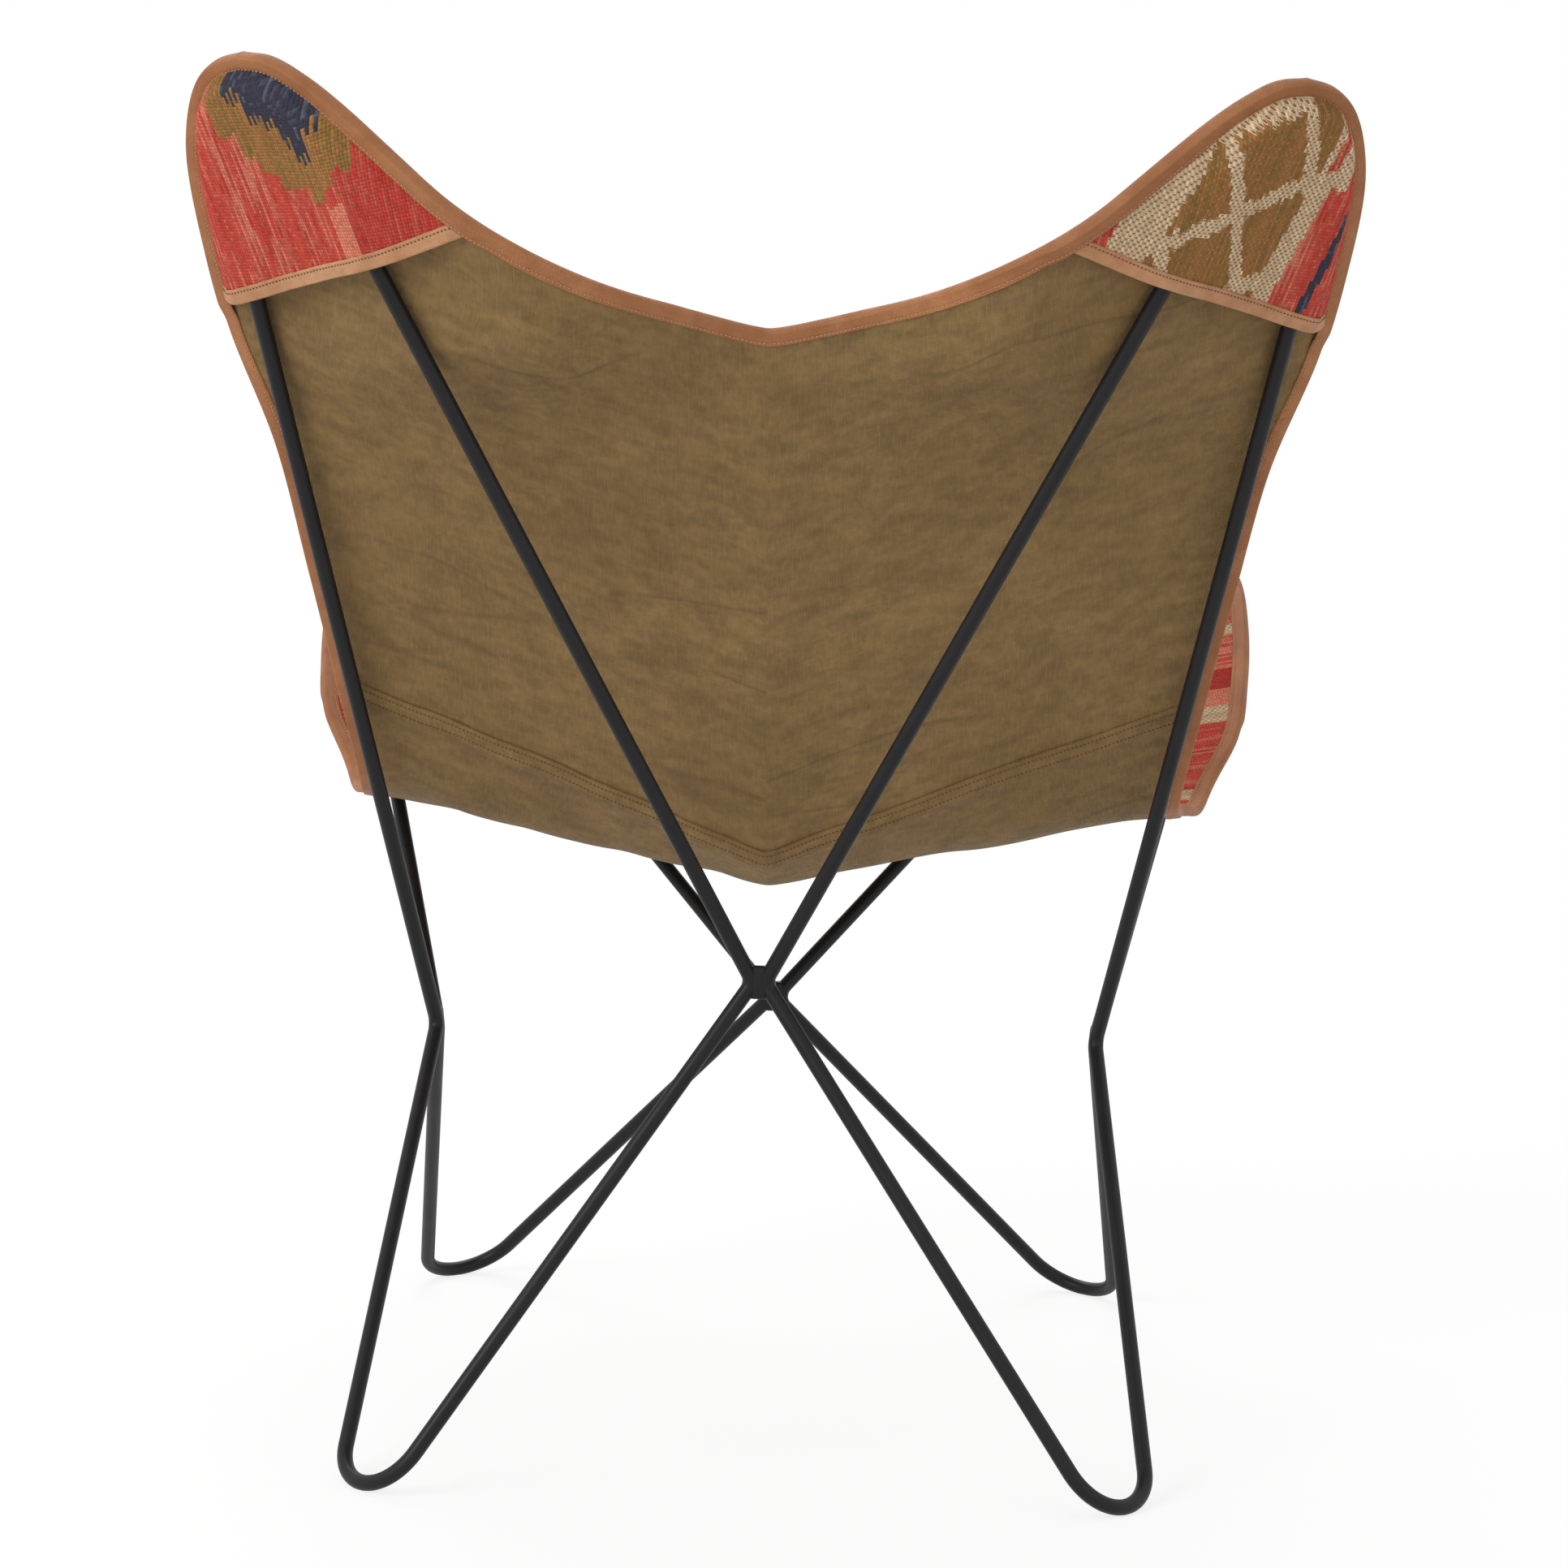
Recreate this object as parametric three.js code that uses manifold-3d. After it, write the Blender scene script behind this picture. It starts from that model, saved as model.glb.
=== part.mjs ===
// Butterfly sling chair: four bent steel rod loops welded into one stand, and a sling of woven
// kilim and canvas that hangs from the four rod hoops by its corner pockets.
// Millimetres, +Z up, origin on the floor under the middle. The sitter faces -Y, and +X is on the
// sitter's left.
import * as THREE from 'three';
import { mergeVertices } from 'three/addons/utils/BufferGeometryUtils.js';
import Module from 'manifold-3d';

// Rod frame
const ROD_DIAMETER = 10;
const HOOP_RADIUS = 36;
const BACK_HOOP_X = 299;
const BACK_HOOP_Y = 327;
const BACK_HOOP_Z = 830;
const FRONT_HOOP_X = 282;
const FRONT_HOOP_Y = -316;
const FRONT_HOOP_Z = 501;
const FOOT_RADIUS = 36;
const BACK_FOOT_X = 223.5;
const BACK_FOOT_Y = 257;
const FRONT_FOOT_X = 219.5;
const FRONT_FOOT_Y = -264;
const FOOT_FLAT_DEPTH = 0.5;
const SIDE_JOINT_X = 222;
const SIDE_JOINT_Z = 246;
const BACK_JOINT_Y = 184;
const BACK_JOINT_Z = 313;
const FRONT_JOINT_Y = -168;
const FRONT_JOINT_Z = 239;
const JOINT_BEND_RADIUS = 10;

// Weld beads that fill the grooves where two loops meet
const WELD_ROOT = 1;
const WELD_LENGTH = 28;
const WELD_CLEARANCE = 0.25;

// Sling cloth and leather
const KILIM_THICKNESS = 2.5;
const CANVAS_THICKNESS = 1.2;
const LEATHER_THICKNESS = 1.2;
const CLOTH_GAP = 0.3;
const BINDING_WIDTH = 9;
const SEAM_LAP = 14;
const POCKET_FLAT = 8.3;
const POCKET_SLOPE = 6;

// Sling outline beside a wing's rods, as [place along the wing's axis from the hoop's middle, reach
// beyond the outside of the rod], and the reach at the tip
const TIP_REACH = 15;
const TIP_ANGLES = [22, 46];
const BACK_WING_TOP = [[-62, 73], [-20, 47], [22, 20]];
const BACK_WING_SIDE = [[-2, 24], [-74, 30], [-126, 28], [-205, 15], [-300, 14], [-395, 14]];
const FRONT_WING_SIDE = [[-172, 34], [-112, 45], [-60, 39], [-8, 27]];
const FRONT_WING_EDGE = [[-96, 30], [-52, 19], [0, 19]];
const WING_HOLD_ALONG = [-225, -130];
const WING_HOLD_ACROSS = [-195, -125];

// Sling middle line as [y, z], from the top edge down the back to the seam, and on to the front edge
const SPINE_BACK = [[300, 728], [205, 561], [125, 421]];
const SPINE_SEAM = [95, 374];
const SPINE_SEAT = [[45, 355], [-8, 349], [-110, 356], [-315, 396]];

// Sling edge between the wings, as [x, y, z]
const TOP_EDGE_MIDDLE = [[34, 310, 736], [82, 330, 752], [140, 357, 784]];
const SIDE_DIP = [[268, 62, 419], [272, 10, 404], [280, -62, 396]];
const FRONT_EDGE_MIDDLE = [[110, -324, 414]];

// Ends of the pocket mouths on the inner and the outer edge, as places along the wing's axis
const BACK_MOUTH = { inner: -62, outer: -105 };
const FRONT_MOUTH = { inner: -92, outer: -92 };

// Facets
const TUBE_SIDES = 10;
const HOOP_STEPS = 12;
const BEND_STEPS = 4;
const EAR_STEPS = 6;
const EAR_SPAN = 0.26;
const WIDTH_STEPS = 8;
const BACK_STEPS = 7;
const SEAT_STEPS = 6;
const POCKET_ROWS = 2;
const BEAD_SIDES = 14;
const BEAD_RINGS = 10;

// Rounds of working out that bring a position to its place
const SETTLE_ROUNDS = 8;
const HALVINGS = 20;

// Sizes worked out from those above
const ROD_RADIUS = ROD_DIAMETER / 2;
const HALF_GAP = CLOTH_GAP / 2;
const KILIM_FACE = HALF_GAP + KILIM_THICKNESS;
const CANVAS_FACE = -HALF_GAP - CANVAS_THICKNESS;
const LAP_FACE = CANVAS_FACE - CLOTH_GAP - CANVAS_THICKNESS;
const SLING_RISE = ROD_RADIUS + CLOTH_GAP - LAP_FACE;
const POCKET_SEAT = CANVAS_FACE - CLOTH_GAP;
const POCKET_RISE = ROD_DIAMETER + LEATHER_THICKNESS + 4 * CLOTH_GAP - LAP_FACE + CANVAS_FACE;

const wasm = await Module();
wasm.setup();

const vec = (x, y, z) => new THREE.Vector3(x, y, z);
const fromArray = (point) => vec(...point);
const onSpine = ([y, z]) => vec(0, y, z);
const mirrored = (point) => vec(-point.x, point.y, point.z);
const lerp = THREE.MathUtils.lerp;
const smooth = THREE.MathUtils.smoothstep;
const between = (a, b, share) => a.clone().lerp(b, share);

// Turn lists of points and triangles into a closed geometry, leaving out triangles with no area
function geometryOf(points, triangles) {
  const raw = new THREE.BufferGeometry();
  raw.setAttribute('position', new THREE.Float32BufferAttribute(points.flatMap((p) => [p.x, p.y, p.z]), 3));
  raw.setIndex(triangles.flat());
  const merged = mergeVertices(raw, 1e-4);
  const index = Array.from(merged.index.array);
  const kept = [];
  for (let i = 0; i < index.length; i += 3) {
    const [a, b, c] = index.slice(i, i + 3);
    if (a !== b && b !== c && c !== a) kept.push(a, b, c);
  }
  merged.setIndex(kept);
  return merged;
}

function solidOf(geometry) {
  const plain = geometry.clone();
  plain.deleteAttribute('normal');
  plain.deleteAttribute('uv');
  const merged = mergeVertices(plain, 1e-4);
  const vertProperties = new Float32Array(merged.attributes.position.array);
  const triVerts = new Uint32Array(merged.index.array);
  return new wasm.Manifold(new wasm.Mesh({ numProp: 3, vertProperties, triVerts }));
}

function geometryFrom(solid) {
  const mesh = solid.getMesh();
  const geometry = new THREE.BufferGeometry();
  geometry.setAttribute('position', new THREE.Float32BufferAttribute(Array.from(mesh.vertProperties), 3));
  geometry.setIndex(Array.from(mesh.triVerts));
  return geometry;
}

// Frame

// Where the straight rod from a joint leaves the round bend, on the side away from the other joint
function tangentPoint(joint, middle, radius, other) {
  const toJoint = joint.clone().sub(middle);
  const distance = toJoint.length();
  const along = toJoint.divideScalar(distance);
  const normal = joint.clone().sub(middle).cross(other.clone().sub(middle)).normalize();
  const side = normal.cross(along);
  const cosine = radius / distance;
  const sine = Math.sqrt(1 - cosine * cosine);
  return middle.clone().addScaledVector(along, radius * cosine).addScaledVector(side, -radius * sine);
}

// Points round a bend of given middle, from one tangent point to the other, the long way by the tip
function hoopPoints(middle, radius, from, to, tip, steps) {
  const start = from.clone().sub(middle).normalize();
  const outward = tip.clone().sub(middle);
  const normal = start.clone().cross(outward).normalize();
  const side = normal.clone().cross(start);
  const end = to.clone().sub(middle);
  let sweep = Math.atan2(end.dot(side), end.dot(start));
  if (sweep < 0) sweep += 2 * Math.PI;
  const points = [];
  for (let i = 0; i <= steps; i += 1) {
    const angle = (sweep * i) / steps;
    const point = middle.clone().addScaledVector(start, radius * Math.cos(angle));
    points.push(point.addScaledVector(side, radius * Math.sin(angle)));
  }
  return points;
}

// Points round the tight bend at a joint, between the rods that come from two places
function bendPoints(joint, from, to, steps) {
  const back = from.clone().sub(joint).normalize();
  const ahead = to.clone().sub(joint).normalize();
  const half = back.angleTo(ahead) / 2;
  const inward = back.clone().add(ahead).normalize();
  const middle = joint.clone().addScaledVector(inward, JOINT_BEND_RADIUS / Math.sin(half));
  const reach = JOINT_BEND_RADIUS / Math.tan(half);
  const start = joint.clone().addScaledVector(back, reach);
  const end = joint.clone().addScaledVector(ahead, reach);
  return hoopPoints(middle, JOINT_BEND_RADIUS, start, end, joint, steps);
}

// One closed loop of rod: hoop, side joint, foot and middle joint, for the +X half of the chair.
// The joints move until the bends of two loops are a weld root apart, and the foot until its
// underside is a flat's depth below the floor.
function rodLoop({ hoop, foot, side, middle, sideSign }) {
  const seat = ROD_RADIUS + WELD_ROOT / 2;
  const loop = { hoop, foot, side, middle };
  for (let round = 0; round < SETTLE_ROUNDS; round += 1) {
    loop.hoopSide = tangentPoint(side, hoop, HOOP_RADIUS, middle);
    loop.hoopMiddle = tangentPoint(middle, hoop, HOOP_RADIUS, side);
    loop.footSide = tangentPoint(side, foot, FOOT_RADIUS, middle);
    loop.footMiddle = tangentPoint(middle, foot, FOOT_RADIUS, side);
    loop.sideBend = bendPoints(side, loop.hoopSide, loop.footSide, BEND_STEPS);
    loop.middleBend = bendPoints(middle, loop.footMiddle, loop.hoopMiddle, BEND_STEPS);
    const nearest = Math.min(...loop.sideBend.map((p) => p.y * sideSign));
    side.y += (seat - nearest) * sideSign;
    middle.x += seat - Math.min(...loop.middleBend.map((p) => p.x));
    const normal = side.clone().sub(foot).cross(middle.clone().sub(foot)).normalize();
    foot.z = ROD_RADIUS - FOOT_FLAT_DEPTH + FOOT_RADIUS * Math.sqrt(1 - normal.z * normal.z);
  }
  const waist = between(side, middle, 0.5);
  const hoopTip = hoop.clone().multiplyScalar(2).sub(waist);
  const footTip = foot.clone().multiplyScalar(2).sub(waist);
  loop.path = [
    ...hoopPoints(hoop, HOOP_RADIUS, loop.hoopMiddle, loop.hoopSide, hoopTip, HOOP_STEPS),
    ...loop.sideBend,
    ...hoopPoints(foot, FOOT_RADIUS, loop.footSide, loop.footMiddle, footTip, HOOP_STEPS),
    ...loop.middleBend,
  ];
  return loop;
}

// A closed round tube through the path's points: rings carried along without twist, with the turn
// that is left over at the end shared out along the way
function closedTube(path, radius) {
  const count = path.length;
  const tangents = path.map((point, i) => {
    const before = point.clone().sub(path[(i + count - 1) % count]).normalize();
    const after = path[(i + 1) % count].clone().sub(point).normalize();
    return before.add(after).normalize();
  });
  const carry = (axis, i, j) => {
    const turn = new THREE.Quaternion().setFromUnitVectors(tangents[i], tangents[j]);
    return axis.clone().applyQuaternion(turn);
  };
  const start = vec(0, 0, 1).cross(tangents[0]).normalize();
  const axes = [start];
  for (let i = 1; i < count; i += 1) axes.push(carry(axes[i - 1], i - 1, i));
  const closed = carry(axes[count - 1], count - 1, 0);
  const across = tangents[0].clone().cross(start);
  const leftOver = Math.atan2(closed.dot(across), closed.dot(start));
  const sector = (2 * Math.PI) / TUBE_SIDES;
  const shared = leftOver - sector * Math.round(leftOver / sector);
  const skip = Math.round((leftOver - shared) / sector);
  const lengths = path.map((point, i) => point.distanceTo(path[(i + 1) % count]));
  const total = lengths.reduce((sum, length) => sum + length, 0);
  const points = [];
  const triangles = [];
  let travelled = 0;
  for (let i = 0; i < count; i += 1) {
    const binormal = tangents[i].clone().cross(axes[i]);
    const turn = (-shared * travelled) / total;
    for (let k = 0; k < TUBE_SIDES; k += 1) {
      const angle = k * sector + turn;
      const point = path[i].clone().addScaledVector(axes[i], radius * Math.cos(angle));
      points.push(point.addScaledVector(binormal, radius * Math.sin(angle)));
    }
    travelled += lengths[i];
    const shift = i === count - 1 ? skip : 0;
    for (let k = 0; k < TUBE_SIDES; k += 1) {
      const here = i * TUBE_SIDES;
      const next = ((i + 1) % count) * TUBE_SIDES;
      const k1 = (k + 1) % TUBE_SIDES;
      const n0 = next + ((k + shift + 2 * TUBE_SIDES) % TUBE_SIDES);
      const n1 = next + ((k1 + shift + 2 * TUBE_SIDES) % TUBE_SIDES);
      triangles.push([here + k, here + k1, n1], [here + k, n1, n0]);
    }
  }
  return geometryOf(points, triangles);
}

const backLoop = rodLoop({
  hoop: vec(BACK_HOOP_X, BACK_HOOP_Y, BACK_HOOP_Z),
  foot: vec(BACK_FOOT_X, BACK_FOOT_Y, FOOT_RADIUS),
  side: vec(SIDE_JOINT_X, ROD_RADIUS, SIDE_JOINT_Z),
  middle: vec(ROD_RADIUS, BACK_JOINT_Y, BACK_JOINT_Z),
  sideSign: 1,
});
const frontLoop = rodLoop({
  hoop: vec(FRONT_HOOP_X, FRONT_HOOP_Y, FRONT_HOOP_Z),
  foot: vec(FRONT_FOOT_X, FRONT_FOOT_Y, FOOT_RADIUS),
  side: vec(SIDE_JOINT_X, -ROD_RADIUS, SIDE_JOINT_Z),
  middle: vec(ROD_RADIUS, FRONT_JOINT_Y, FRONT_JOINT_Z),
  sideSign: -1,
});

// The rod with its small flat under the foot, where it stands on the floor
function rodGeometry(loop) {
  return geometryFrom(solidOf(closedTube(loop.path, ROD_RADIUS)).trimByPlane([0, 0, 1], 0));
}

// A weld bead: a long round drop at the joint, less the room of the rods that it joins
function weldGeometry(place, across, rooms) {
  const shape = new THREE.SphereGeometry(1, BEAD_SIDES, BEAD_RINGS);
  const wide = ROD_RADIUS + WELD_ROOT / 2;
  const deep = ROD_RADIUS - WELD_ROOT / 2;
  shape.rotateX(Math.PI / 2);
  shape.scale(across === 'x' ? wide : deep, across === 'x' ? deep : wide, WELD_LENGTH / 2);
  shape.translate(place.x, place.y, place.z);
  let bead = solidOf(shape);
  for (const room of rooms) bead = bead.subtract(solidOf(room));
  return geometryFrom(bead);
}

// The middle of a bend, where its rod is nearest to the neighbour's
function bendMiddle(bend) {
  return bend[BEND_STEPS / 2];
}

// Sling surface

// A wing's own frame at its hoop: along its axis, across towards the side edge, and up to the seat
function wingFrame(loop) {
  const waist = between(loop.side, loop.middle, 0.5);
  const along = loop.hoop.clone().sub(waist).normalize();
  const up = loop.side.clone().sub(loop.hoop).cross(loop.middle.clone().sub(loop.hoop)).normalize();
  if (up.z < 0) up.negate();
  const across = along.clone().cross(up).normalize();
  if (across.dot(loop.side.clone().sub(loop.middle)) < 0) across.negate();
  const origin = loop.hoop.clone().addScaledVector(up, SLING_RISE);
  return { along, across, up, origin };
}

const backWing = wingFrame(backLoop);
const frontWing = wingFrame(frontLoop);

function wingPoint(wing, [along, across], lift = 0) {
  const point = wing.origin.clone().addScaledVector(wing.along, along);
  return point.addScaledVector(wing.across, across).addScaledVector(wing.up, lift);
}

function wingPlace(wing, point) {
  const from = point.clone().sub(wing.origin);
  return [from.dot(wing.along), from.dot(wing.across)];
}

// The sling's edge beside one of a wing's straight rods, at a place along the axis and a reach
function besideRod(wing, bend, joint, [along, reach]) {
  const [fromAlong, fromAcross] = wingPlace(wing, bend);
  const [toAlong, toAcross] = wingPlace(wing, joint);
  const rod = lerp(fromAcross, toAcross, (along - fromAlong) / (toAlong - fromAlong));
  return wingPoint(wing, [along, rod + Math.sign(rod) * (ROD_RADIUS + reach)]);
}
const besideSide = (wing, loop) => (place) => besideRod(wing, loop.hoopSide, loop.side, place);
const besideMiddle = (wing, loop) => (place) => besideRod(wing, loop.hoopMiddle, loop.middle, place);

// Places round a wing's tip, from one side to the tip, on a circle about the hoop's middle
function tipRound(wing, side) {
  const radius = HOOP_RADIUS + ROD_RADIUS + TIP_REACH;
  return [...TIP_ANGLES, 0].sort((a, b) => b - a).map((degrees) => {
    const angle = THREE.MathUtils.degToRad(degrees);
    return wingPoint(wing, [radius * Math.cos(angle), side * radius * Math.sin(angle)]);
  });
}

const smoothCurve = (points) => new THREE.CatmullRomCurve3(points, false, 'centripetal');
const backSide = BACK_WING_SIDE.map(besideSide(backWing, backLoop));
const spineBack = smoothCurve([...SPINE_BACK, SPINE_SEAM].map(onSpine));
const spineSeat = smoothCurve([SPINE_SEAM, ...SPINE_SEAT].map(onSpine));
const topEdge = smoothCurve([
  spineBack.points[0],
  ...TOP_EDGE_MIDDLE.map(fromArray),
  ...BACK_WING_TOP.map(besideMiddle(backWing, backLoop)),
  ...tipRound(backWing, -1),
]);
const sideBack = smoothCurve([...tipRound(backWing, 1).reverse(), ...backSide]);
const sideSeat = smoothCurve([
  backSide[backSide.length - 1],
  ...SIDE_DIP.map(fromArray),
  ...FRONT_WING_SIDE.map(besideSide(frontWing, frontLoop)),
  ...tipRound(frontWing, 1),
]);
const frontEdge = smoothCurve([
  spineSeat.points[SPINE_SEAT.length],
  ...FRONT_EDGE_MIDDLE.map(fromArray),
  ...FRONT_WING_EDGE.map(besideMiddle(frontWing, frontLoop)),
  ...tipRound(frontWing, -1),
]);

// How far a point is drawn into a wing's plane: fully at the pocket, and not at all at the spine
function wingHold(wing, point) {
  const [along, across] = wingPlace(wing, point);
  return smooth(along, ...WING_HOLD_ALONG) * smooth(across, ...WING_HOLD_ACROSS);
}

function drawnToWing(wing, point) {
  const height = point.clone().sub(wing.origin).dot(wing.up);
  return point.addScaledVector(wing.up, -height * wingHold(wing, point));
}

// The sling's middle layer over the +X half. Width runs from the spine to the side edge, and length
// from the top edge, by the seam at 0, to the front edge. The straight cloth from spine to side takes
// on the edge's curve towards each end.
function slingPoint(width, length) {
  const back = length < 0;
  const share = back ? 1 + length : length;
  const spine = back ? spineBack.getPointAt(share) : spineSeat.getPointAt(share);
  const side = back ? sideBack.getPointAt(share) : sideSeat.getPointAt(share);
  const edge = back ? topEdge : frontEdge;
  const bow = edge.getPointAt(width).sub(between(edge.getPointAt(0), edge.getPointAt(1), width));
  const point = between(spine, side, width).addScaledVector(bow, length * length);
  return drawnToWing(back ? backWing : frontWing, point);
}

// Steps from 0 to 1, with a row at the seam's lap, that get finer over the last part, round the tip
function gradedSteps(plain, lap) {
  const steps = lap ? [0, lap] : [0];
  for (let i = 1; i < plain; i += 1) steps.push(((1 - EAR_SPAN) * i) / plain);
  for (let i = 0; i <= EAR_STEPS; i += 1) steps.push(1 - EAR_SPAN + (EAR_SPAN * i) / EAR_STEPS);
  return steps;
}

const halfWidths = gradedSteps(WIDTH_STEPS, 0);
const widths = [...halfWidths.slice(1).reverse().map((w) => -w), ...halfWidths];
const backShares = gradedSteps(BACK_STEPS, SEAM_LAP / spineBack.getLength());
const backLengths = backShares.map((share) => -share).reverse();
const seatLengths = gradedSteps(SEAT_STEPS, SEAM_LAP / spineSeat.getLength());
const lengths = [...backLengths, ...seatLengths.slice(1)];
const SEAM_ROW = backLengths.length - 1;
const LAST_ROW = lengths.length - 1;
const LAST_COLUMN = widths.length - 1;
const SPINE_COLUMN = halfWidths.length - 1;

const cloth = lengths.map((length) => widths.map((width) => {
  const point = slingPoint(Math.abs(width), length);
  return width < 0 ? mirrored(point) : point;
}));

// The seat side's direction at each point of the grid, square to the cloth's own facets
const facing = cloth.map((row, r) => row.map((point, c) => {
  const above = cloth[Math.max(r - 1, 0)][c];
  const below = cloth[Math.min(r + 1, LAST_ROW)][c];
  const left = row[Math.min(c + 1, LAST_COLUMN)];
  const right = row[Math.max(c - 1, 0)];
  const normal = below.clone().sub(above).cross(left.clone().sub(right)).normalize();
  if (c === SPINE_COLUMN) normal.setX(0).normalize();
  const wing = lengths[r] < 0 ? backWing : frontWing;
  const half = widths[c] < 0 ? -1 : 1;
  const inWing = half < 0 ? mirrored(point) : point;
  const wingUp = half < 0 ? mirrored(wing.up) : wing.up;
  return normal.lerp(wingUp, wingHold(wing, inWing)).normalize();
}));

// A sheet with two faces and an edge all round, between two heights over a grid of points. The grid's
// squares are split the other way before its middle column, so that the two halves mirror.
function sheetGeometry(points, normals, low, high, middle = 0) {
  const rows = points.length;
  const columns = points[0].length;
  const lift = (height) => points.flatMap((row, r) => row.map((point, c) => (
    point.clone().addScaledVector(normals[r][c], typeof height === 'function' ? height(r, c) : height)
  )));
  const all = [...lift(high), ...lift(low)];
  const under = rows * columns;
  const at = (r, c) => r * columns + c;
  const triangles = [];
  for (let r = 0; r + 1 < rows; r += 1) {
    for (let c = 0; c + 1 < columns; c += 1) {
      const [a, b, d, e] = [at(r, c), at(r + 1, c), at(r + 1, c + 1), at(r, c + 1)];
      const pair = c < middle ? [[a, b, e], [b, d, e]] : [[a, b, d], [a, d, e]];
      for (const [i, j, k] of pair) triangles.push([i, j, k], [under + i, under + k, under + j]);
    }
  }
  const rim = [];
  for (let c = 0; c < columns - 1; c += 1) rim.push(at(0, c));
  for (let r = 0; r < rows - 1; r += 1) rim.push(at(r, columns - 1));
  for (let c = columns - 1; c > 0; c -= 1) rim.push(at(rows - 1, c));
  for (let r = rows - 1; r > 0; r -= 1) rim.push(at(r, 0));
  rim.forEach((a, i) => {
    const b = rim[(i + 1) % rim.length];
    const mirrors = Math.min(a % columns, b % columns) < middle;
    const [c, d] = mirrors ? [a, b] : [b, a];
    triangles.push([a, b, under + c], [d, under + b, under + a]);
  });
  return geometryOf(all, triangles);
}

// Rows of the grid from one to another, with an end row moved along the cloth by a distance
function panelRows(from, to, startMove, endMove) {
  const points = cloth.slice(from, to + 1).map((row) => row.map((point) => point.clone()));
  const move = (row, towards, distance) => row.forEach((point, c) => {
    const way = towards[c].clone().sub(point).normalize();
    point.addScaledVector(way, distance);
  });
  if (startMove) move(points[0], cloth[from + Math.sign(startMove)], Math.abs(startMove));
  if (endMove) move(points[points.length - 1], cloth[to + Math.sign(endMove)], Math.abs(endMove));
  return { points, normals: facing.slice(from, to + 1) };
}

const parts = new THREE.Group();

function addPart(name, geometry, finish) {
  geometry.computeVertexNormals();
  const mesh = new THREE.Mesh(geometry, finish);
  mesh.name = name;
  parts.add(mesh);
}

const finish = (color, roughness, metalness = 0) => (
  new THREE.MeshStandardMaterial({ color, roughness, metalness })
);
const blackSteel = finish('#232126', 0.45, 0.6);
const weldSteel = finish('#1f1d21', 0.55, 0.6);
const oliveCanvas = finish('#6b5836', 0.75);
const redKilim = finish('#b53a35', 0.95);
const tanLeather = finish('#a3734e', 0.6);

const HALVES = [['left', 1], ['right', -1]];
const turned = (geometry, half) => {
  if (half > 0) return geometry;
  const flipped = geometry.clone().scale(-1, 1, 1);
  const index = Array.from(flipped.index.array);
  for (let i = 0; i < index.length; i += 3) [index[i], index[i + 1]] = [index[i + 1], index[i]];
  flipped.setIndex(index);
  return flipped;
};

// Frame nodes
const rodRoom = (loop) => closedTube(loop.path, ROD_RADIUS + WELD_CLEARANCE);
for (const [name, loop] of [['back', backLoop], ['front', frontLoop]]) {
  const rod = rodGeometry(loop);
  for (const [side, half] of HALVES) addPart(`frame_loop_${name}_${side}`, turned(rod, half), blackSteel);
  const place = bendMiddle(loop.middleBend).clone().setX(0);
  const rooms = [rodRoom(loop), turned(rodRoom(loop), -1)];
  addPart(`weld_${name}`, weldGeometry(place, 'x', rooms), weldSteel);
}
const sideWeldPlace = between(bendMiddle(backLoop.sideBend), bendMiddle(frontLoop.sideBend), 0.5);
const sideWeld = weldGeometry(sideWeldPlace, 'y', [rodRoom(backLoop), rodRoom(frontLoop)]);
for (const [side, half] of HALVES) addPart(`weld_${side}`, turned(sideWeld, half), weldSteel);

// Sling panels: the kilim's two halves butt at the seam, and the canvas seat panel laps the back one
const backRows = panelRows(0, SEAM_ROW, 0, -HALF_GAP);
const seatRows = panelRows(SEAM_ROW, LAST_ROW, HALF_GAP, 0);
const panel = ({ points, normals }, low, high) => sheetGeometry(points, normals, low, high, SPINE_COLUMN);
addPart('kilim_back_panel', panel(backRows, HALF_GAP, KILIM_FACE), redKilim);
addPart('kilim_seat_panel', panel(seatRows, HALF_GAP, KILIM_FACE), redKilim);
addPart('canvas_back_panel', panel(backRows, CANVAS_FACE, -HALF_GAP), oliveCanvas);

// The seat panel starts a row before the seam, under the back panel, and comes up a row after it
function lappedSeat() {
  const rows = panelRows(SEAM_ROW - 1, LAST_ROW, 0, 0);
  const isLap = (r) => r < 2;
  const top = (r) => (isLap(r) ? POCKET_SEAT : -HALF_GAP);
  const bottom = (r) => (isLap(r) ? LAP_FACE : CANVAS_FACE);
  return panel(rows, bottom, top);
}
addPart('canvas_seat_panel', lappedSeat(), oliveCanvas);

// Rim of the left half, from the middle of the top edge round to the middle of the front edge, as
// grid places of each point and of its neighbour inside
const rimCells = [];
for (let c = SPINE_COLUMN; c < LAST_COLUMN; c += 1) rimCells.push([0, c, 1, c]);
for (let r = 0; r < LAST_ROW; r += 1) rimCells.push([r, LAST_COLUMN, r, LAST_COLUMN - 1]);
for (let c = LAST_COLUMN; c >= SPINE_COLUMN; c -= 1) rimCells.push([LAST_ROW, c, LAST_ROW - 1, c]);

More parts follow.
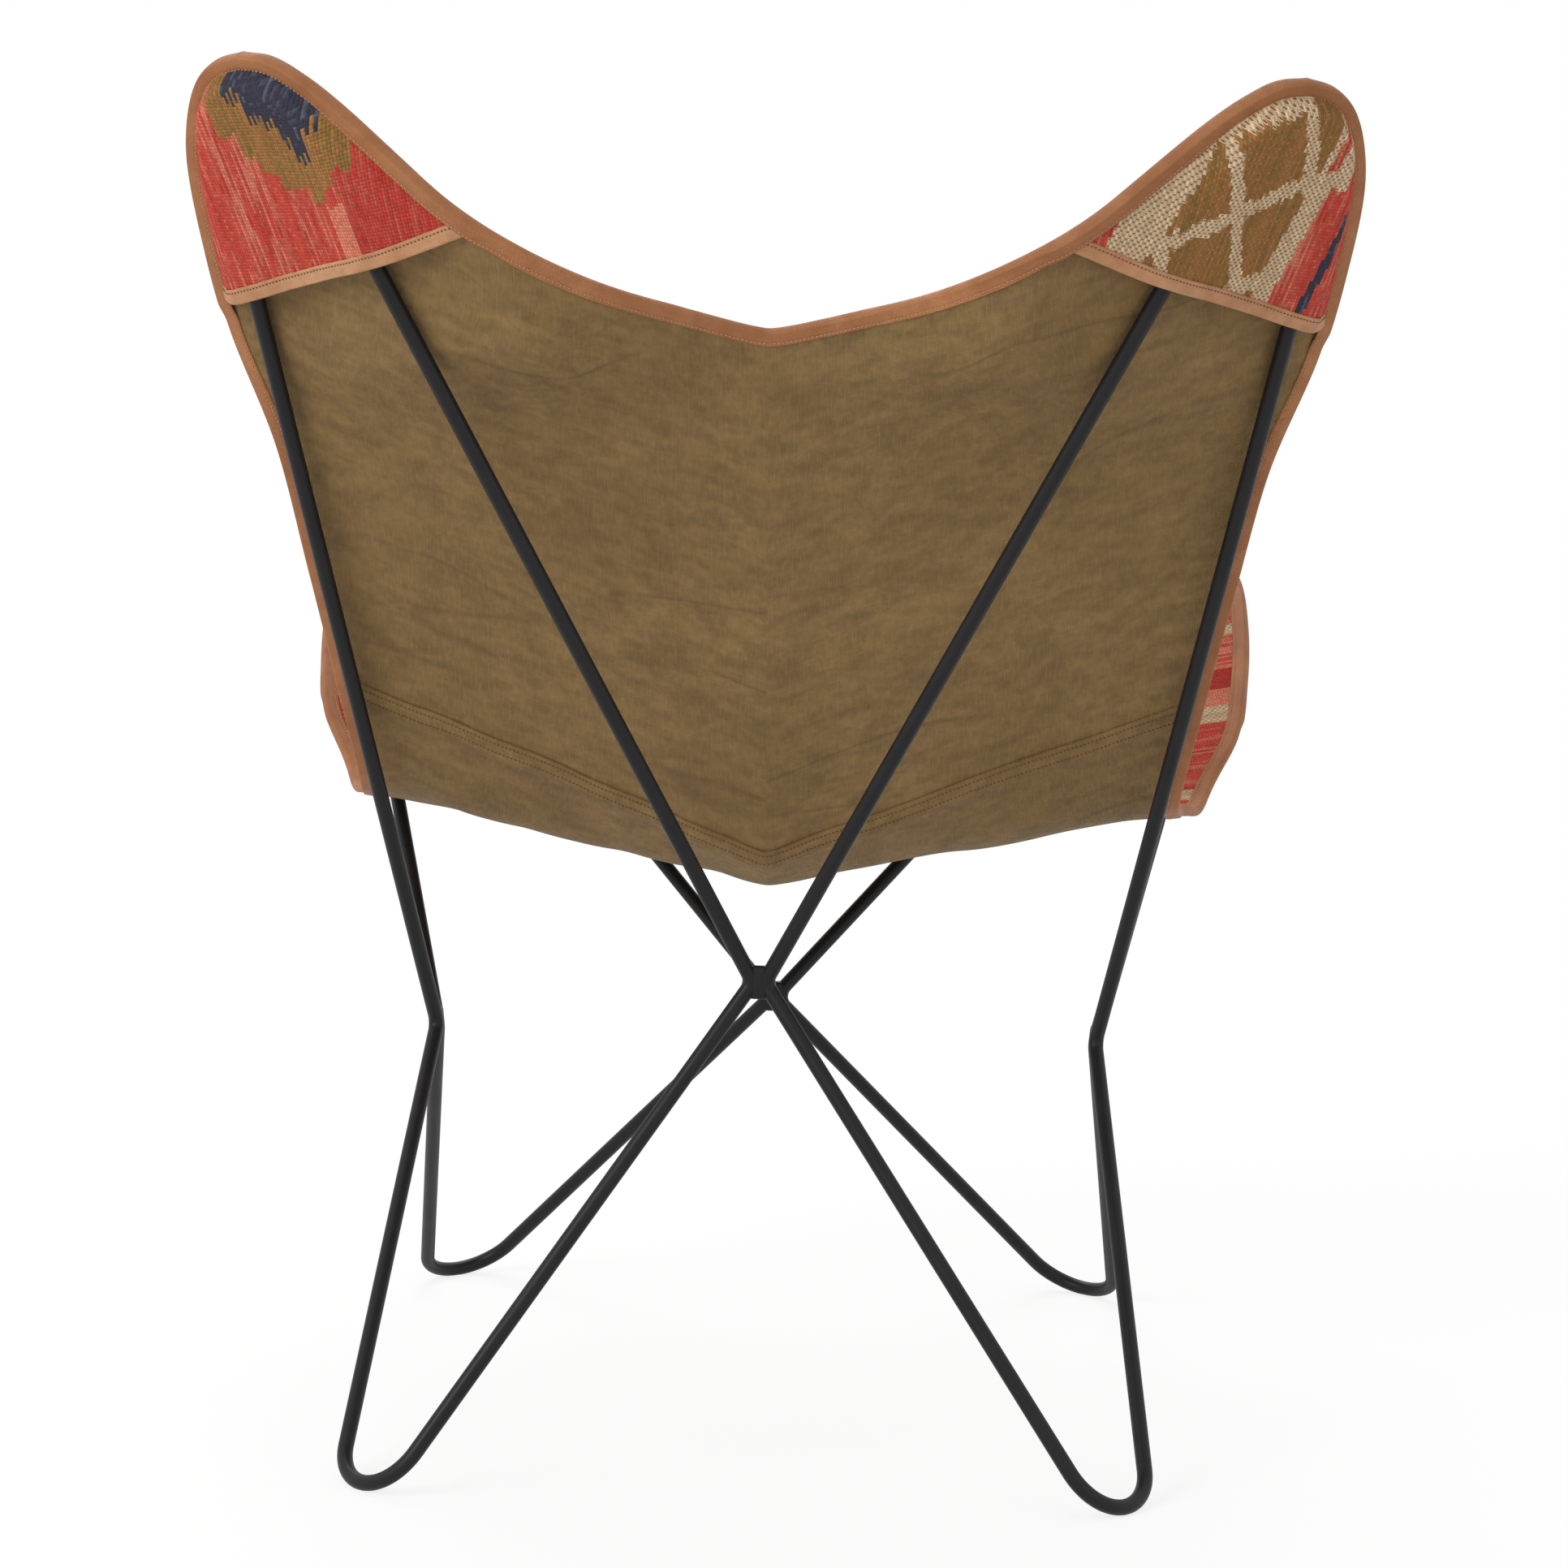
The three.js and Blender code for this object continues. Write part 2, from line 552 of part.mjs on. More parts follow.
// Each rim point's direction up to the seat side, and outwards along the cloth's own grid line, so
// that what is folded round the edge lies along the cloth
function rimStations() {
  const points = rimCells.map(([r, c]) => cloth[r][c]);
  return rimCells.map(([r, c, innerRow, innerColumn], i) => {
    const point = points[i];
    const before = i === 0 ? mirrored(points[1]) : points[i - 1];
    const after = i === points.length - 1 ? mirrored(points[i - 1]) : points[i + 1];
    const way = after.clone().sub(before).normalize();
    const up = facing[r][c];
    const square = up.clone().cross(way).normalize();
    const gridLine = point.clone().sub(cloth[innerRow][innerColumn]);
    gridLine.divideScalar(gridLine.dot(square));
    const hold = wingHold(lengths[r] < 0 ? backWing : frontWing, point);
    return { point, up, out: hold < 1 ? gridLine : square };
  });
}
const rim = rimStations();
const TIP_BACK = LAST_COLUMN - SPINE_COLUMN;
const TIP_FRONT = TIP_BACK + LAST_ROW;
const rimAlong = (wing, i) => wingPlace(wing, rim[i].point)[0];

// The rim station nearest to a place along a wing's axis, searched from the tip outwards
function mouthEnd(wing, tip, step, along) {
  let i = tip;
  while (rimAlong(wing, i + step) > along) i += step;
  return rimAlong(wing, i) - along < along - rimAlong(wing, i + step) ? i : i + step;
}
const backMouth = [
  mouthEnd(backWing, TIP_BACK, -1, BACK_MOUTH.inner),
  mouthEnd(backWing, TIP_BACK, 1, BACK_MOUTH.outer),
];
const frontMouth = [
  mouthEnd(frontWing, TIP_FRONT, -1, FRONT_MOUTH.outer),
  mouthEnd(frontWing, TIP_FRONT, 1, FRONT_MOUTH.inner),
];

// Outside of leather folded round an edge, with softened corners, as [out, up] from the edge
function foldOutline(low, high) {
  const outer = CLOTH_GAP + LEATHER_THICKNESS;
  const leaf = outer - BINDING_WIDTH;
  const soft = LEATHER_THICKNESS / 2;
  return [
    [leaf, low - outer],
    [outer - soft, low - outer],
    [outer, low - outer + soft],
    [outer, high + outer - soft],
    [outer - soft, high + outer],
    [leaf, high + outer],
  ];
}

// The same fold with its groove, for a straight and flat edge
function foldSection(low, high) {
  const outline = foldOutline(low, high);
  const leaf = outline[0][0];
  const top = high + CLOTH_GAP;
  const bottom = low - CLOTH_GAP;
  return [...outline, [leaf, top], [CLOTH_GAP, top], [CLOTH_GAP, bottom], [leaf, bottom]];
}

// A section carried along stations, closed at both ends
function sweptGeometry(stations, section) {
  const size = section.length;
  const points = stations.flatMap(({ point, out, up }) => section.map(([o, u]) => (
    point.clone().addScaledVector(out, o).addScaledVector(up, u)
  )));
  const triangles = [];
  for (let i = 0; i + 1 < stations.length; i += 1) {
    for (let k = 0; k < size; k += 1) {
      const k1 = (k + 1) % size;
      const [a, b] = [i * size + k, i * size + k1];
      triangles.push([a, a + size, b + size], [a, b + size, b]);
    }
  }
  const outline = section.map(([o, u]) => new THREE.Vector2(o, u));
  const caps = THREE.ShapeUtils.triangulateShape(outline, []);
  const clockwise = THREE.ShapeUtils.isClockWise(outline);
  const last = (stations.length - 1) * size;
  for (const cap of caps) {
    const sameWay = THREE.ShapeUtils.isClockWise(cap.map((k) => outline[k])) === clockwise;
    const [a, b, c] = sameWay ? cap : [...cap].reverse();
    triangles.push([a, b, c], [last + a, last + c, last + b]);
  }
  return facingOut(geometryOf(points, triangles));
}

// Turn a closed geometry's faces outwards when its volume comes out negative
function facingOut(geometry) {
  const position = geometry.attributes.position;
  const index = Array.from(geometry.index.array);
  const corner = (i) => new THREE.Vector3().fromBufferAttribute(position, index[i]);
  let volume = 0;
  for (let i = 0; i < index.length; i += 3) volume += corner(i).dot(corner(i + 1).cross(corner(i + 2)));
  if (volume < 0) {
    for (let i = 0; i < index.length; i += 3) [index[i], index[i + 1]] = [index[i + 1], index[i]];
    geometry.setIndex(index);
  }
  return geometry;
}

// Stations of the rim from one to another, drawn in at both ends by half a gap
function rimRun(from, to) {
  const run = rim.slice(from, to + 1).map((station) => ({ ...station, point: station.point.clone() }));
  const draw = (station, next) => {
    station.point.addScaledVector(next.point.clone().sub(station.point).normalize(), HALF_GAP);
  };
  draw(run[0], run[1]);
  draw(run[run.length - 1], run[run.length - 2]);
  return run;
}
const mirroredStation = ({ point, out, up }) => (
  { point: mirrored(point), out: mirrored(out), up: mirrored(up) }
);

// A run across the chair's middle, from the right half to the left, or the other way at the front
function middleRun(from, to) {
  const half = rim.slice(from, to + 1);
  const other = half.map(mirroredStation).reverse();
  const run = from === 0 ? [...other, ...half.slice(1)] : [...half, ...other.slice(1)];
  const ends = [0, run.length - 1];
  for (const end of ends) {
    const next = end === 0 ? 1 : end - 1;
    const way = run[next].point.clone().sub(run[end].point).normalize();
    run[end] = { ...run[end], point: run[end].point.clone().addScaledVector(way, HALF_GAP) };
  }
  return run;
}

// The room that the cloth takes between two heights, with the gap all round it
function clothRoom(low, high) {
  const points = cloth.map((row) => row.map((point) => point.clone()));
  rimCells.forEach(([r, c], i) => {
    points[r][c].addScaledVector(rim[i].out, CLOTH_GAP);
    points[r][LAST_COLUMN - c] = mirrored(points[r][c]);
  });
  return solidOf(panel({ points, normals: facing }, low - CLOTH_GAP, high + CLOTH_GAP));
}

// Leather folded round the cloth's edge along a run, with the cloth's room taken out
function foldedGeometry(run, low) {
  const leather = solidOf(sweptGeometry(run, foldOutline(low, KILIM_FACE)));
  return geometryFrom(leather.subtract(clothRoom(low, KILIM_FACE)));
}

const POCKET_FACE = POCKET_SEAT - KILIM_THICKNESS;
const frontRun = middleRun(frontMouth[1], rim.length - 1);
addPart('binding_top_edge', foldedGeometry(middleRun(0, backMouth[0]), CANVAS_FACE), tanLeather);
addPart('binding_front_edge', foldedGeometry(frontRun, CANVAS_FACE), tanLeather);
const sideRuns = [
  ['back_corner', rimRun(...backMouth), POCKET_FACE],
  ['side', rimRun(backMouth[1], frontMouth[0]), LAP_FACE],
  ['front_corner', rimRun(...frontMouth), POCKET_FACE],
];
for (const [place, run, low] of sideRuns) {
  const leather = foldedGeometry(run, low);
  for (const [side, half] of HALVES) addPart(`binding_${place}_${side}`, turned(leather, half), tanLeather);
}

// Pockets

const flat = ([along, across]) => new THREE.Vector2(along, across);

// The point of a line of places that is nearest to a place in a wing's plane
function nearestOnLine(place, line) {
  let nearest = line[0];
  for (let i = 0; i + 1 < line.length; i += 1) {
    const run = line[i + 1].clone().sub(line[i]);
    const share = THREE.MathUtils.clamp(place.clone().sub(line[i]).dot(run) / run.lengthSq(), 0, 1);
    const point = line[i].clone().addScaledVector(run, share);
    if (place.distanceTo(point) < place.distanceTo(nearest)) nearest = point;
  }
  return nearest;
}
const depthInside = (place, edge) => place.distanceTo(nearestOnLine(place, edge));

// The first place on the way from one place to another that lies a given depth inside the edge
function placeAtDepth(from, to, edge, depth) {
  if (depthInside(to, edge) < depth) return to.clone();
  let low = 0;
  let high = 1;
  for (let i = 0; i < HALVINGS; i += 1) {
    const middle = (low + high) / 2;
    if (depthInside(from.clone().lerp(to, middle), edge) < depth) low = middle;
    else high = middle;
  }
  return from.clone().lerp(to, high);
}

// The place inside a bend of the edge at the same depth from the runs on both its sides
function insetAt(edge, i, depth, inside) {
  const before = edge[i].clone().sub(edge[i - 1]).normalize();
  const after = edge[i + 1].clone().sub(edge[i]).normalize();
  const way = before.clone().add(after).normalize();
  const inward = new THREE.Vector2(-way.y, way.x);
  if (inward.dot(inside.clone().sub(edge[i])) < 0) inward.negate();
  return edge[i].clone().addScaledVector(inward, depth / way.dot(before));
}

// A pocket's grid: columns from the wing's edge in under the binding, out over the rod, and down to
// the mouth, with two columns more at each end of the mouth, where the pocket starts to stand out
function pocketGrid(wing, [from, to]) {
  const edge = rim.slice(from, to + 1).map(({ point }) => flat(wingPlace(wing, point)));
  const corners = [edge[0], edge[edge.length - 1]];
  const middle = corners[0].clone().lerp(corners[1], 0.5);
  const depths = [POCKET_FLAT, POCKET_FLAT + POCKET_SLOPE];
  const [start, end] = corners.map((corner) => depths.map((depth) => (
    placeAtDepth(corner, middle, edge, depth)
  )));
  const column = ([place, first, second, mouth], stands) => {
    const line = [place, first, second];
    for (let k = 1; k <= POCKET_ROWS; k += 1) line.push(second.clone().lerp(mouth, k / POCKET_ROWS));
    return line.map((at, k) => ({ at, drop: stands && k > 1 ? POCKET_RISE : 0 }));
  };
  const endColumns = (corner, [low, full]) => {
    const lowEdge = nearestOnLine(low, edge);
    const fullEdge = nearestOnLine(full, edge);
    const rise = placeAtDepth(fullEdge, full, edge, POCKET_FLAT);
    return [
      column([corner, corner, corner, corner], false),
      column([lowEdge, low, low, low], false),
      column([fullEdge, rise, full, full], true),
    ];
  };
  const inner = edge.slice(1, -1).map((place, i) => {
    const mouth = start[1].clone().lerp(end[1], (i + 1) / (edge.length - 1));
    const [first, second] = depths.map((depth) => insetAt(edge, i + 1, depth, middle));
    return column([place, first, second, mouth], true);
  });
  const columns = [...endColumns(corners[0], start), ...inner, ...endColumns(corners[1], end).reverse()];
  return { columns, edge, mouth: [start[1], end[1]] };
}

function pocketGeometry(wing, grid) {
  const points = grid.columns.map((column) => column.map(({ at, drop }) => (
    wingPoint(wing, [at.x, at.y], POCKET_SEAT - drop)
  )));
  const normals = points.map((column) => column.map(() => wing.up));
  return facingOut(sheetGeometry(points, normals, -KILIM_THICKNESS, 0));
}

// The leather's run round the pocket's mouth, where the pocket stands out over the rods
function mouthRun(wing, { edge, mouth }) {
  const [start, end] = mouth;
  const way = end.clone().sub(start).normalize();
  const inward = new THREE.Vector2(-way.y, way.x);
  if (inward.x < 0) inward.negate();
  inward.multiplyScalar(BINDING_WIDTH);
  const middle = start.clone().lerp(end, 0.5).add(inward);
  const places = mouth.map((corner) => (
    placeAtDepth(corner.clone().add(inward), middle, edge, POCKET_FLAT + POCKET_SLOPE).sub(inward)
  ));
  const lift = POCKET_SEAT - POCKET_RISE;
  const points = places.map((place) => wingPoint(wing, [place.x, place.y], lift));
  const out = points[1].clone().sub(points[0]).cross(wing.up).normalize();
  if (out.dot(wing.along) > 0) out.negate();
  return points.map((point) => ({ point, out, up: wing.up }));
}

const mouthFold = foldSection(-KILIM_THICKNESS, 0);
for (const [place, wing, mouth] of [['back', backWing, backMouth], ['front', frontWing, frontMouth]]) {
  const grid = pocketGrid(wing, mouth);
  const pocket = pocketGeometry(wing, grid);
  const leather = sweptGeometry(mouthRun(wing, grid), mouthFold);
  for (const [side, half] of HALVES) {
    addPart(`pocket_${place}_${side}`, turned(pocket, half), redKilim);
    addPart(`mouth_binding_${place}_${side}`, turned(leather, half), tanLeather);
  }
}

// Put the origin under the middle of the whole chair
const middle = new THREE.Box3().setFromObject(parts).getCenter(vec(0, 0, 0));
for (const mesh of parts.children) mesh.geometry.translate(0, -middle.y, 0);

export default parts;
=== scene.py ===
# %% [markdown]
# A butterfly sling chair in cells
#
# The chair is four loops of bent steel rod welded into one stand, and a sling of woven kilim on a
# canvas backing that hangs from the four rod hoops by its corner pockets. Every shape here is a
# function of two parameters, worked out with numpy on a grid, and put into a mesh at its real size.

# %% Load the frame
import math

import bpy
import numpy as np
from mathutils import Matrix, Vector


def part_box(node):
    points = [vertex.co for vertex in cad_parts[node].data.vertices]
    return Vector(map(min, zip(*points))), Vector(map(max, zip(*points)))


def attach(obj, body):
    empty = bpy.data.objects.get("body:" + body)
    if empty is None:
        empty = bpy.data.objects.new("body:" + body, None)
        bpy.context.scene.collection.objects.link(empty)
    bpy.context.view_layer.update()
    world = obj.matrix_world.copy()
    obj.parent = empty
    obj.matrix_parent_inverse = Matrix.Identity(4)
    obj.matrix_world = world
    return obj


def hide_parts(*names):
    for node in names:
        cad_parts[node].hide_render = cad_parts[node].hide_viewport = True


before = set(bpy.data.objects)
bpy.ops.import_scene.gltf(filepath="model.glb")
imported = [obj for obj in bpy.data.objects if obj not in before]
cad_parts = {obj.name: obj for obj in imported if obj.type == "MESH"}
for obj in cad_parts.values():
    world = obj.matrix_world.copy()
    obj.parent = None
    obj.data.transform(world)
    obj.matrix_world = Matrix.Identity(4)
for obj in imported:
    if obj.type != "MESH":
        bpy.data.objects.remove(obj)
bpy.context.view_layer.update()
MM = 0.001

# %% [markdown]
# The driving sizes
#
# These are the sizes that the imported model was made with, written in millimetres. The curves below
# are worked out about the middle of the rod frame, where the side joints are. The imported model's
# origin lies under the middle of the whole chair, so every piece is moved by the little that is left.

# %% Driving sizes
ROD_RADIUS = 5 * MM
HOOP_RADIUS = 36 * MM
BACK_HOOP = np.array([299, 327, 830]) * MM
FRONT_HOOP = np.array([282, -316, 501]) * MM
FOOT_RADIUS = 36 * MM
BACK_FOOT = np.array([223.5, 257]) * MM
FRONT_FOOT = np.array([219.5, -264]) * MM
FOOT_FLAT_DEPTH = 0.5 * MM
SIDE_JOINT = np.array([222, 246]) * MM
BACK_JOINT = np.array([184, 313]) * MM
FRONT_JOINT = np.array([-168, 239]) * MM
JOINT_BEND_RADIUS = 10 * MM
WELD_ROOT = 1 * MM
KILIM = 2.5 * MM
CANVAS = 1.2 * MM
LEATHER = 1.2 * MM
GAP = 0.3 * MM
BINDING_WIDTH = 9 * MM
SEAM_LAP = 14 * MM
POCKET_FLAT = 8.3 * MM

KILIM_FACE = GAP / 2 + KILIM
CANVAS_FACE = -GAP / 2 - CANVAS
LAP_FACE = CANVAS_FACE - GAP - CANVAS
SLING_RISE = ROD_RADIUS + GAP - LAP_FACE
POCKET_SEAT = CANVAS_FACE - GAP
POCKET_RISE = 2 * ROD_RADIUS + LEATHER + 4 * GAP - LAP_FACE + CANVAS_FACE

print("sling lies", round(SLING_RISE * 1000, 2), "mm above the rods' middle")

# %% [markdown]
# From arrays to meshes
#
# A grid of points becomes a mesh of four-sided faces. The helper below takes whole arrays, can close
# the grid in either direction, and stores the cloth's own flat coordinates as a UV map, so that a
# weave follows the cloth and not the room.

# %% Grid to mesh
def grid_faces(rows, columns, close_rows=False, close_columns=False):
    """Corner numbers of the grid's faces: each joins (r, c), (r+1, c), (r+1, c+1) and (r, c+1)."""
    r = np.arange(rows if close_rows else rows - 1)
    c = np.arange(columns if close_columns else columns - 1)
    r, c = np.meshgrid(r, c, indexing="ij")
    r1, c1 = (r + 1) % rows, (c + 1) % columns
    corners = [r * columns + c, r1 * columns + c, r1 * columns + c1, r * columns + c1]
    return np.stack(corners, axis=-1).reshape(-1, 4)


CRISP_ANGLE = math.radians(70)


def make_piece(name, points, faces, uv=None):
    """A mesh object at the origin, smooth but for its cut ends, riding on the chair's one body."""
    mesh = bpy.data.meshes.new(name)
    faces = faces if isinstance(faces, list) else faces.tolist()
    mesh.from_pydata(points.reshape(-1, 3).tolist(), [], faces)
    mesh.validate()
    if uv is not None:
        layer = mesh.uv_layers.new(name="cloth")
        corners = np.empty(len(mesh.loops), dtype=np.int32)
        mesh.loops.foreach_get("vertex_index", corners)
        layer.data.foreach_set("uv", uv.reshape(-1, 2)[corners].astype(np.float32).ravel())
    mesh.shade_smooth()
    mesh.set_sharp_from_angle(angle=CRISP_ANGLE)
    piece = bpy.data.objects.new(name, mesh)
    bpy.context.scene.collection.objects.link(piece)
    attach(piece, "root")
    return piece


def unit(vectors):
    """Vectors at length 1."""
    return vectors / np.linalg.norm(vectors, axis=-1, keepdims=True)


def smoothstep(x, low, high):
    """3t^2 - 2t^3, with t running from 0 at low to 1 at high."""
    t = np.clip((x - low) / (high - low), 0, 1)
    return t * t * (3 - 2 * t)


def mirrored(points):
    """The same points on the chair's other side."""
    return points * np.array([-1.0, 1.0, 1.0])


def distance_along(line):
    """The length of the line up to each of its points."""
    return np.concatenate([[0], np.linalg.norm(np.diff(line, axis=0), axis=1).cumsum()])


def at_places(places, gone, values):
    """Vectors between the known ones, in a straight line from each place in gone to the next."""
    return np.stack([np.interp(places, gone, values[:, k]) for k in range(3)], axis=-1)


def square_to(vectors, way):
    """Vectors at length 1, with what runs along the way taken off."""
    return unit(vectors - way * (vectors * way).sum(axis=-1, keepdims=True))


HALVES = (("left", 1), ("right", -1))
print("mesh and vector helpers ready, edges crisp from", round(math.degrees(CRISP_ANGLE)), "degrees")

# %% [markdown]
# The rod loops
#
# Each loop is one length of 10 mm round steel, bent cold and butt welded into a ring. From its hoop
# it runs straight to the joint at the side, turns, runs to its round foot, comes up to the joint in
# the middle and goes back to the hoop. A curve object with a bevel could give the same tube, but its
# bends would be placed by hand. Here straight rods are tangents of the round bends, so only the bends'
# middles and radii have to be known.

# %% Path of a loop
def tangent_point(joint, middle, radius, other):
    """Where a straight rod from the joint touches the bend, on the side away from the other joint."""
    to_joint = joint - middle
    distance = np.linalg.norm(to_joint)
    along = to_joint / distance
    side = np.cross(unit(np.cross(to_joint, other - middle)), along)
    cosine = radius / distance
    return middle + radius * (cosine * along - math.sqrt(1 - cosine**2) * side)


def arc(middle, radius, start, end, tip, steps):
    """middle + radius (cos t a + sin t b), from start to end by way of the tip."""
    a = unit(start - middle)
    b = np.cross(unit(np.cross(a, tip - middle)), a)
    sweep = math.atan2((end - middle) @ b, (end - middle) @ a) % (2 * math.pi)
    t = np.linspace(0, sweep, steps + 1)[:, None]
    return middle + radius * (np.cos(t) * a + np.sin(t) * b)


def joint_bend(joint, before, after, steps=14):
    """The tight arc that rounds the corner at a joint, tangent to the rods on both sides."""
    back, ahead = unit(before - joint), unit(after - joint)
    half = math.acos(back @ ahead) / 2
    middle = joint + unit(back + ahead) * JOINT_BEND_RADIUS / math.sin(half)
    reach = JOINT_BEND_RADIUS / math.tan(half)
    return arc(middle, JOINT_BEND_RADIUS, joint + back * reach, joint + ahead * reach, joint, steps)


HOOP_STEPS = 56


def rod_loop(hoop, foot, side, middle, sign, rounds=8):
    """The closed centre line of a left loop. The joints settle until two loops are a weld apart."""
    seat = ROD_RADIUS + WELD_ROOT / 2
    for _ in range(rounds):
        hoop_side = tangent_point(side, hoop, HOOP_RADIUS, middle)
        hoop_middle = tangent_point(middle, hoop, HOOP_RADIUS, side)
        foot_side = tangent_point(side, foot, FOOT_RADIUS, middle)
        foot_middle = tangent_point(middle, foot, FOOT_RADIUS, side)
        side_bend = joint_bend(side, hoop_side, foot_side)
        middle_bend = joint_bend(middle, foot_middle, hoop_middle)
        side[1] += sign * (seat - (side_bend[:, 1] * sign).min())
        middle[0] += seat - middle_bend[:, 0].min()
        normal = unit(np.cross(side - foot, middle - foot))
        foot[2] = ROD_RADIUS - FOOT_FLAT_DEPTH + FOOT_RADIUS * math.sqrt(1 - normal[2] ** 2)
    waist = (side + middle) / 2
    path = np.vstack([
        arc(hoop, HOOP_RADIUS, hoop_middle, hoop_side, 2 * hoop - waist, HOOP_STEPS),
        side_bend,
        arc(foot, FOOT_RADIUS, foot_side, foot_middle, 2 * foot - waist, HOOP_STEPS),
        middle_bend,
    ])
    return {"hoop": hoop, "side": side, "middle": middle, "hoop_side": hoop_side,
            "hoop_middle": hoop_middle, "path": path}


back_loop = rod_loop(BACK_HOOP.copy(), np.append(BACK_FOOT, FOOT_RADIUS),
                     np.array([SIDE_JOINT[0], ROD_RADIUS, SIDE_JOINT[1]]),
                     np.array([ROD_RADIUS, *BACK_JOINT]), 1)
front_loop = rod_loop(FRONT_HOOP.copy(), np.append(FRONT_FOOT, FOOT_RADIUS),
                      np.array([SIDE_JOINT[0], -ROD_RADIUS, SIDE_JOINT[1]]),
                      np.array([ROD_RADIUS, *FRONT_JOINT]), -1)
reach = front_loop["path"][:, 1].min() + back_loop["path"][:, 1].max()
packed_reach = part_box("frame_loop_front_left")[0][1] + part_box("frame_loop_back_left")[1][1]
FRAME_SHIFT = np.array([0, (packed_reach - reach) / 2, 0])
print("rod frame's middle at y =", round(float(FRAME_SHIFT[1]), 4))
for place, loop in (("back", back_loop), ("front", front_loop)):
    closed = np.vstack([loop["path"], loop["path"][:1]])
    print(place, "loop is bent from", round(float(distance_along(closed)[-1]), 3), "m of rod")

# %% Rods as tubes
RING_SPACING = 12 * MM


def closed_tube(path, radius, sides=28):
    """Circles carried along a closed path without twist; what turn is left is shared out evenly."""
    corners = zip(path, np.roll(path, -1, axis=0))
    path = np.vstack([np.linspace(a, b, 1 + int(math.dist(a, b) / RING_SPACING), endpoint=False)
                      for a, b in corners])
    ahead = unit(unit(np.roll(path, -1, axis=0) - path) + unit(path - np.roll(path, 1, axis=0)))
    axes = [unit(np.cross([0.0, 0.0, 1.0], ahead[0]))]
    for tangent in ahead[1:]:
        axes.append(unit(axes[-1] - tangent * (axes[-1] @ tangent)))
    axes = np.array(axes)
    closing = axes[-1] - ahead[0] * (axes[-1] @ ahead[0])
    left_over = math.atan2(closing @ np.cross(ahead[0], axes[0]), closing @ axes[0])
    gone = np.linalg.norm(np.diff(path, axis=0, append=path[:1]), axis=1).cumsum()
    turn = -left_over * np.concatenate([[0], gone[:-1]]) / gone[-1]
    angle = turn[:, None] + np.linspace(0, 2 * math.pi, sides, endpoint=False)
    across = np.cross(ahead, axes)
    ring = np.cos(angle)[..., None] * axes[:, None] + np.sin(angle)[..., None] * across[:, None]
    return path[:, None] + radius * ring


rods = []
for place, loop in (("back", back_loop), ("front", front_loop)):
    for side, half in HALVES:
        path = loop["path"] + FRAME_SHIFT
        path = path if half > 0 else mirrored(path)[::-1]
        tube = closed_tube(path, ROD_RADIUS)
        tube[..., 2] = np.maximum(tube[..., 2], 0)
        faces = grid_faces(*tube.shape[:2], close_rows=True, close_columns=True)[:, ::-1]
        rod = make_piece(f"rod_loop_{place}_{side}", tube, faces)
        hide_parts(f"frame_loop_{place}_{side}")
        rods.append(rod)
print(len(rods), "rod loops of", len(rods[0].data.polygons), "faces")

# %% [markdown]
# The welds
#
# Where two loops touch, the groove between them is filled with weld and ground smooth before the
# powder coat, so the joint reads as one soft web. A boolean union of the rods would leave a hard
# crease there. So the web is a rounded box nearly as deep as the rods, and it widens above and below
# the joint as the rods part, so that it always ends inside them.

# %% Weld webs
WELD_HALF_LENGTH = 10.5 * MM
WELD_HALF_WIDTH = 5.6 * MM
WELD_HALF_DEPTH = 4.7 * MM
WELD_FLARE = 0.3
CAP_ANGLE = 0.03


def power(x, exponent):
    """sign(x) |x|^exponent, which squares off a circle's cosine and sine."""
    return np.sign(x) * np.abs(x) ** exponent


def web(middle, across, steps=40, sides=32):
    """x = (w + f |z|) cos^0.5 a sin^0.3 b, y = d sin^0.5 a sin^0.3 b, z = l cos b, about the joint."""
    b = np.linspace(CAP_ANGLE, math.pi - CAP_ANGLE, steps)[:, None]
    a = np.linspace(0, 2 * math.pi, sides, endpoint=False)[None, :]
    swell = np.sin(b) ** 0.3
    tall = WELD_HALF_LENGTH * np.cos(b) * np.ones_like(a)
    wide = (WELD_HALF_WIDTH + WELD_FLARE * abs(tall)) * power(np.cos(a), 0.5) * swell
    deep = WELD_HALF_DEPTH * power(np.sin(a), 0.5) * swell
    sizes = (wide, deep, tall) if across == "x" else (deep, -wide, tall)
    return middle + np.stack(sizes, axis=-1)


welds = []
for place in ("left", "right", "back", "front"):
    low, high = (np.array(corner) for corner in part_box(f"weld_{place}"))
    across = "y" if place in ("left", "right") else "x"
    shape = web((low + high) / 2, across)
    rows, sides = shape.shape[:2]
    caps = [list(range(sides)), list(range((rows - 1) * sides, rows * sides))[::-1]]
    faces = grid_faces(rows, sides, close_columns=True).tolist() + caps
    weld = make_piece(f"weld_web_{place}", shape, faces)
    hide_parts(f"weld_{place}")
    welds.append(weld)
print(len(welds), "weld webs")

# %% [markdown]
# The sling's edge
#
# The sling is cut so that its wings reach past the hoops, and its edge dips between them. The edge is
# drawn beside the rods: each place is given along the wing's axis from the hoop's middle, with the
# reach of the cloth beyond the outside of the rod there. Round the tip the edge is an arc about the
# hoop. A curve with handles could be drawn by eye, but its handles would mean nothing on the chair. So
# a cubic curve passes through the places themselves, paced so that it neither loops nor overshoots.

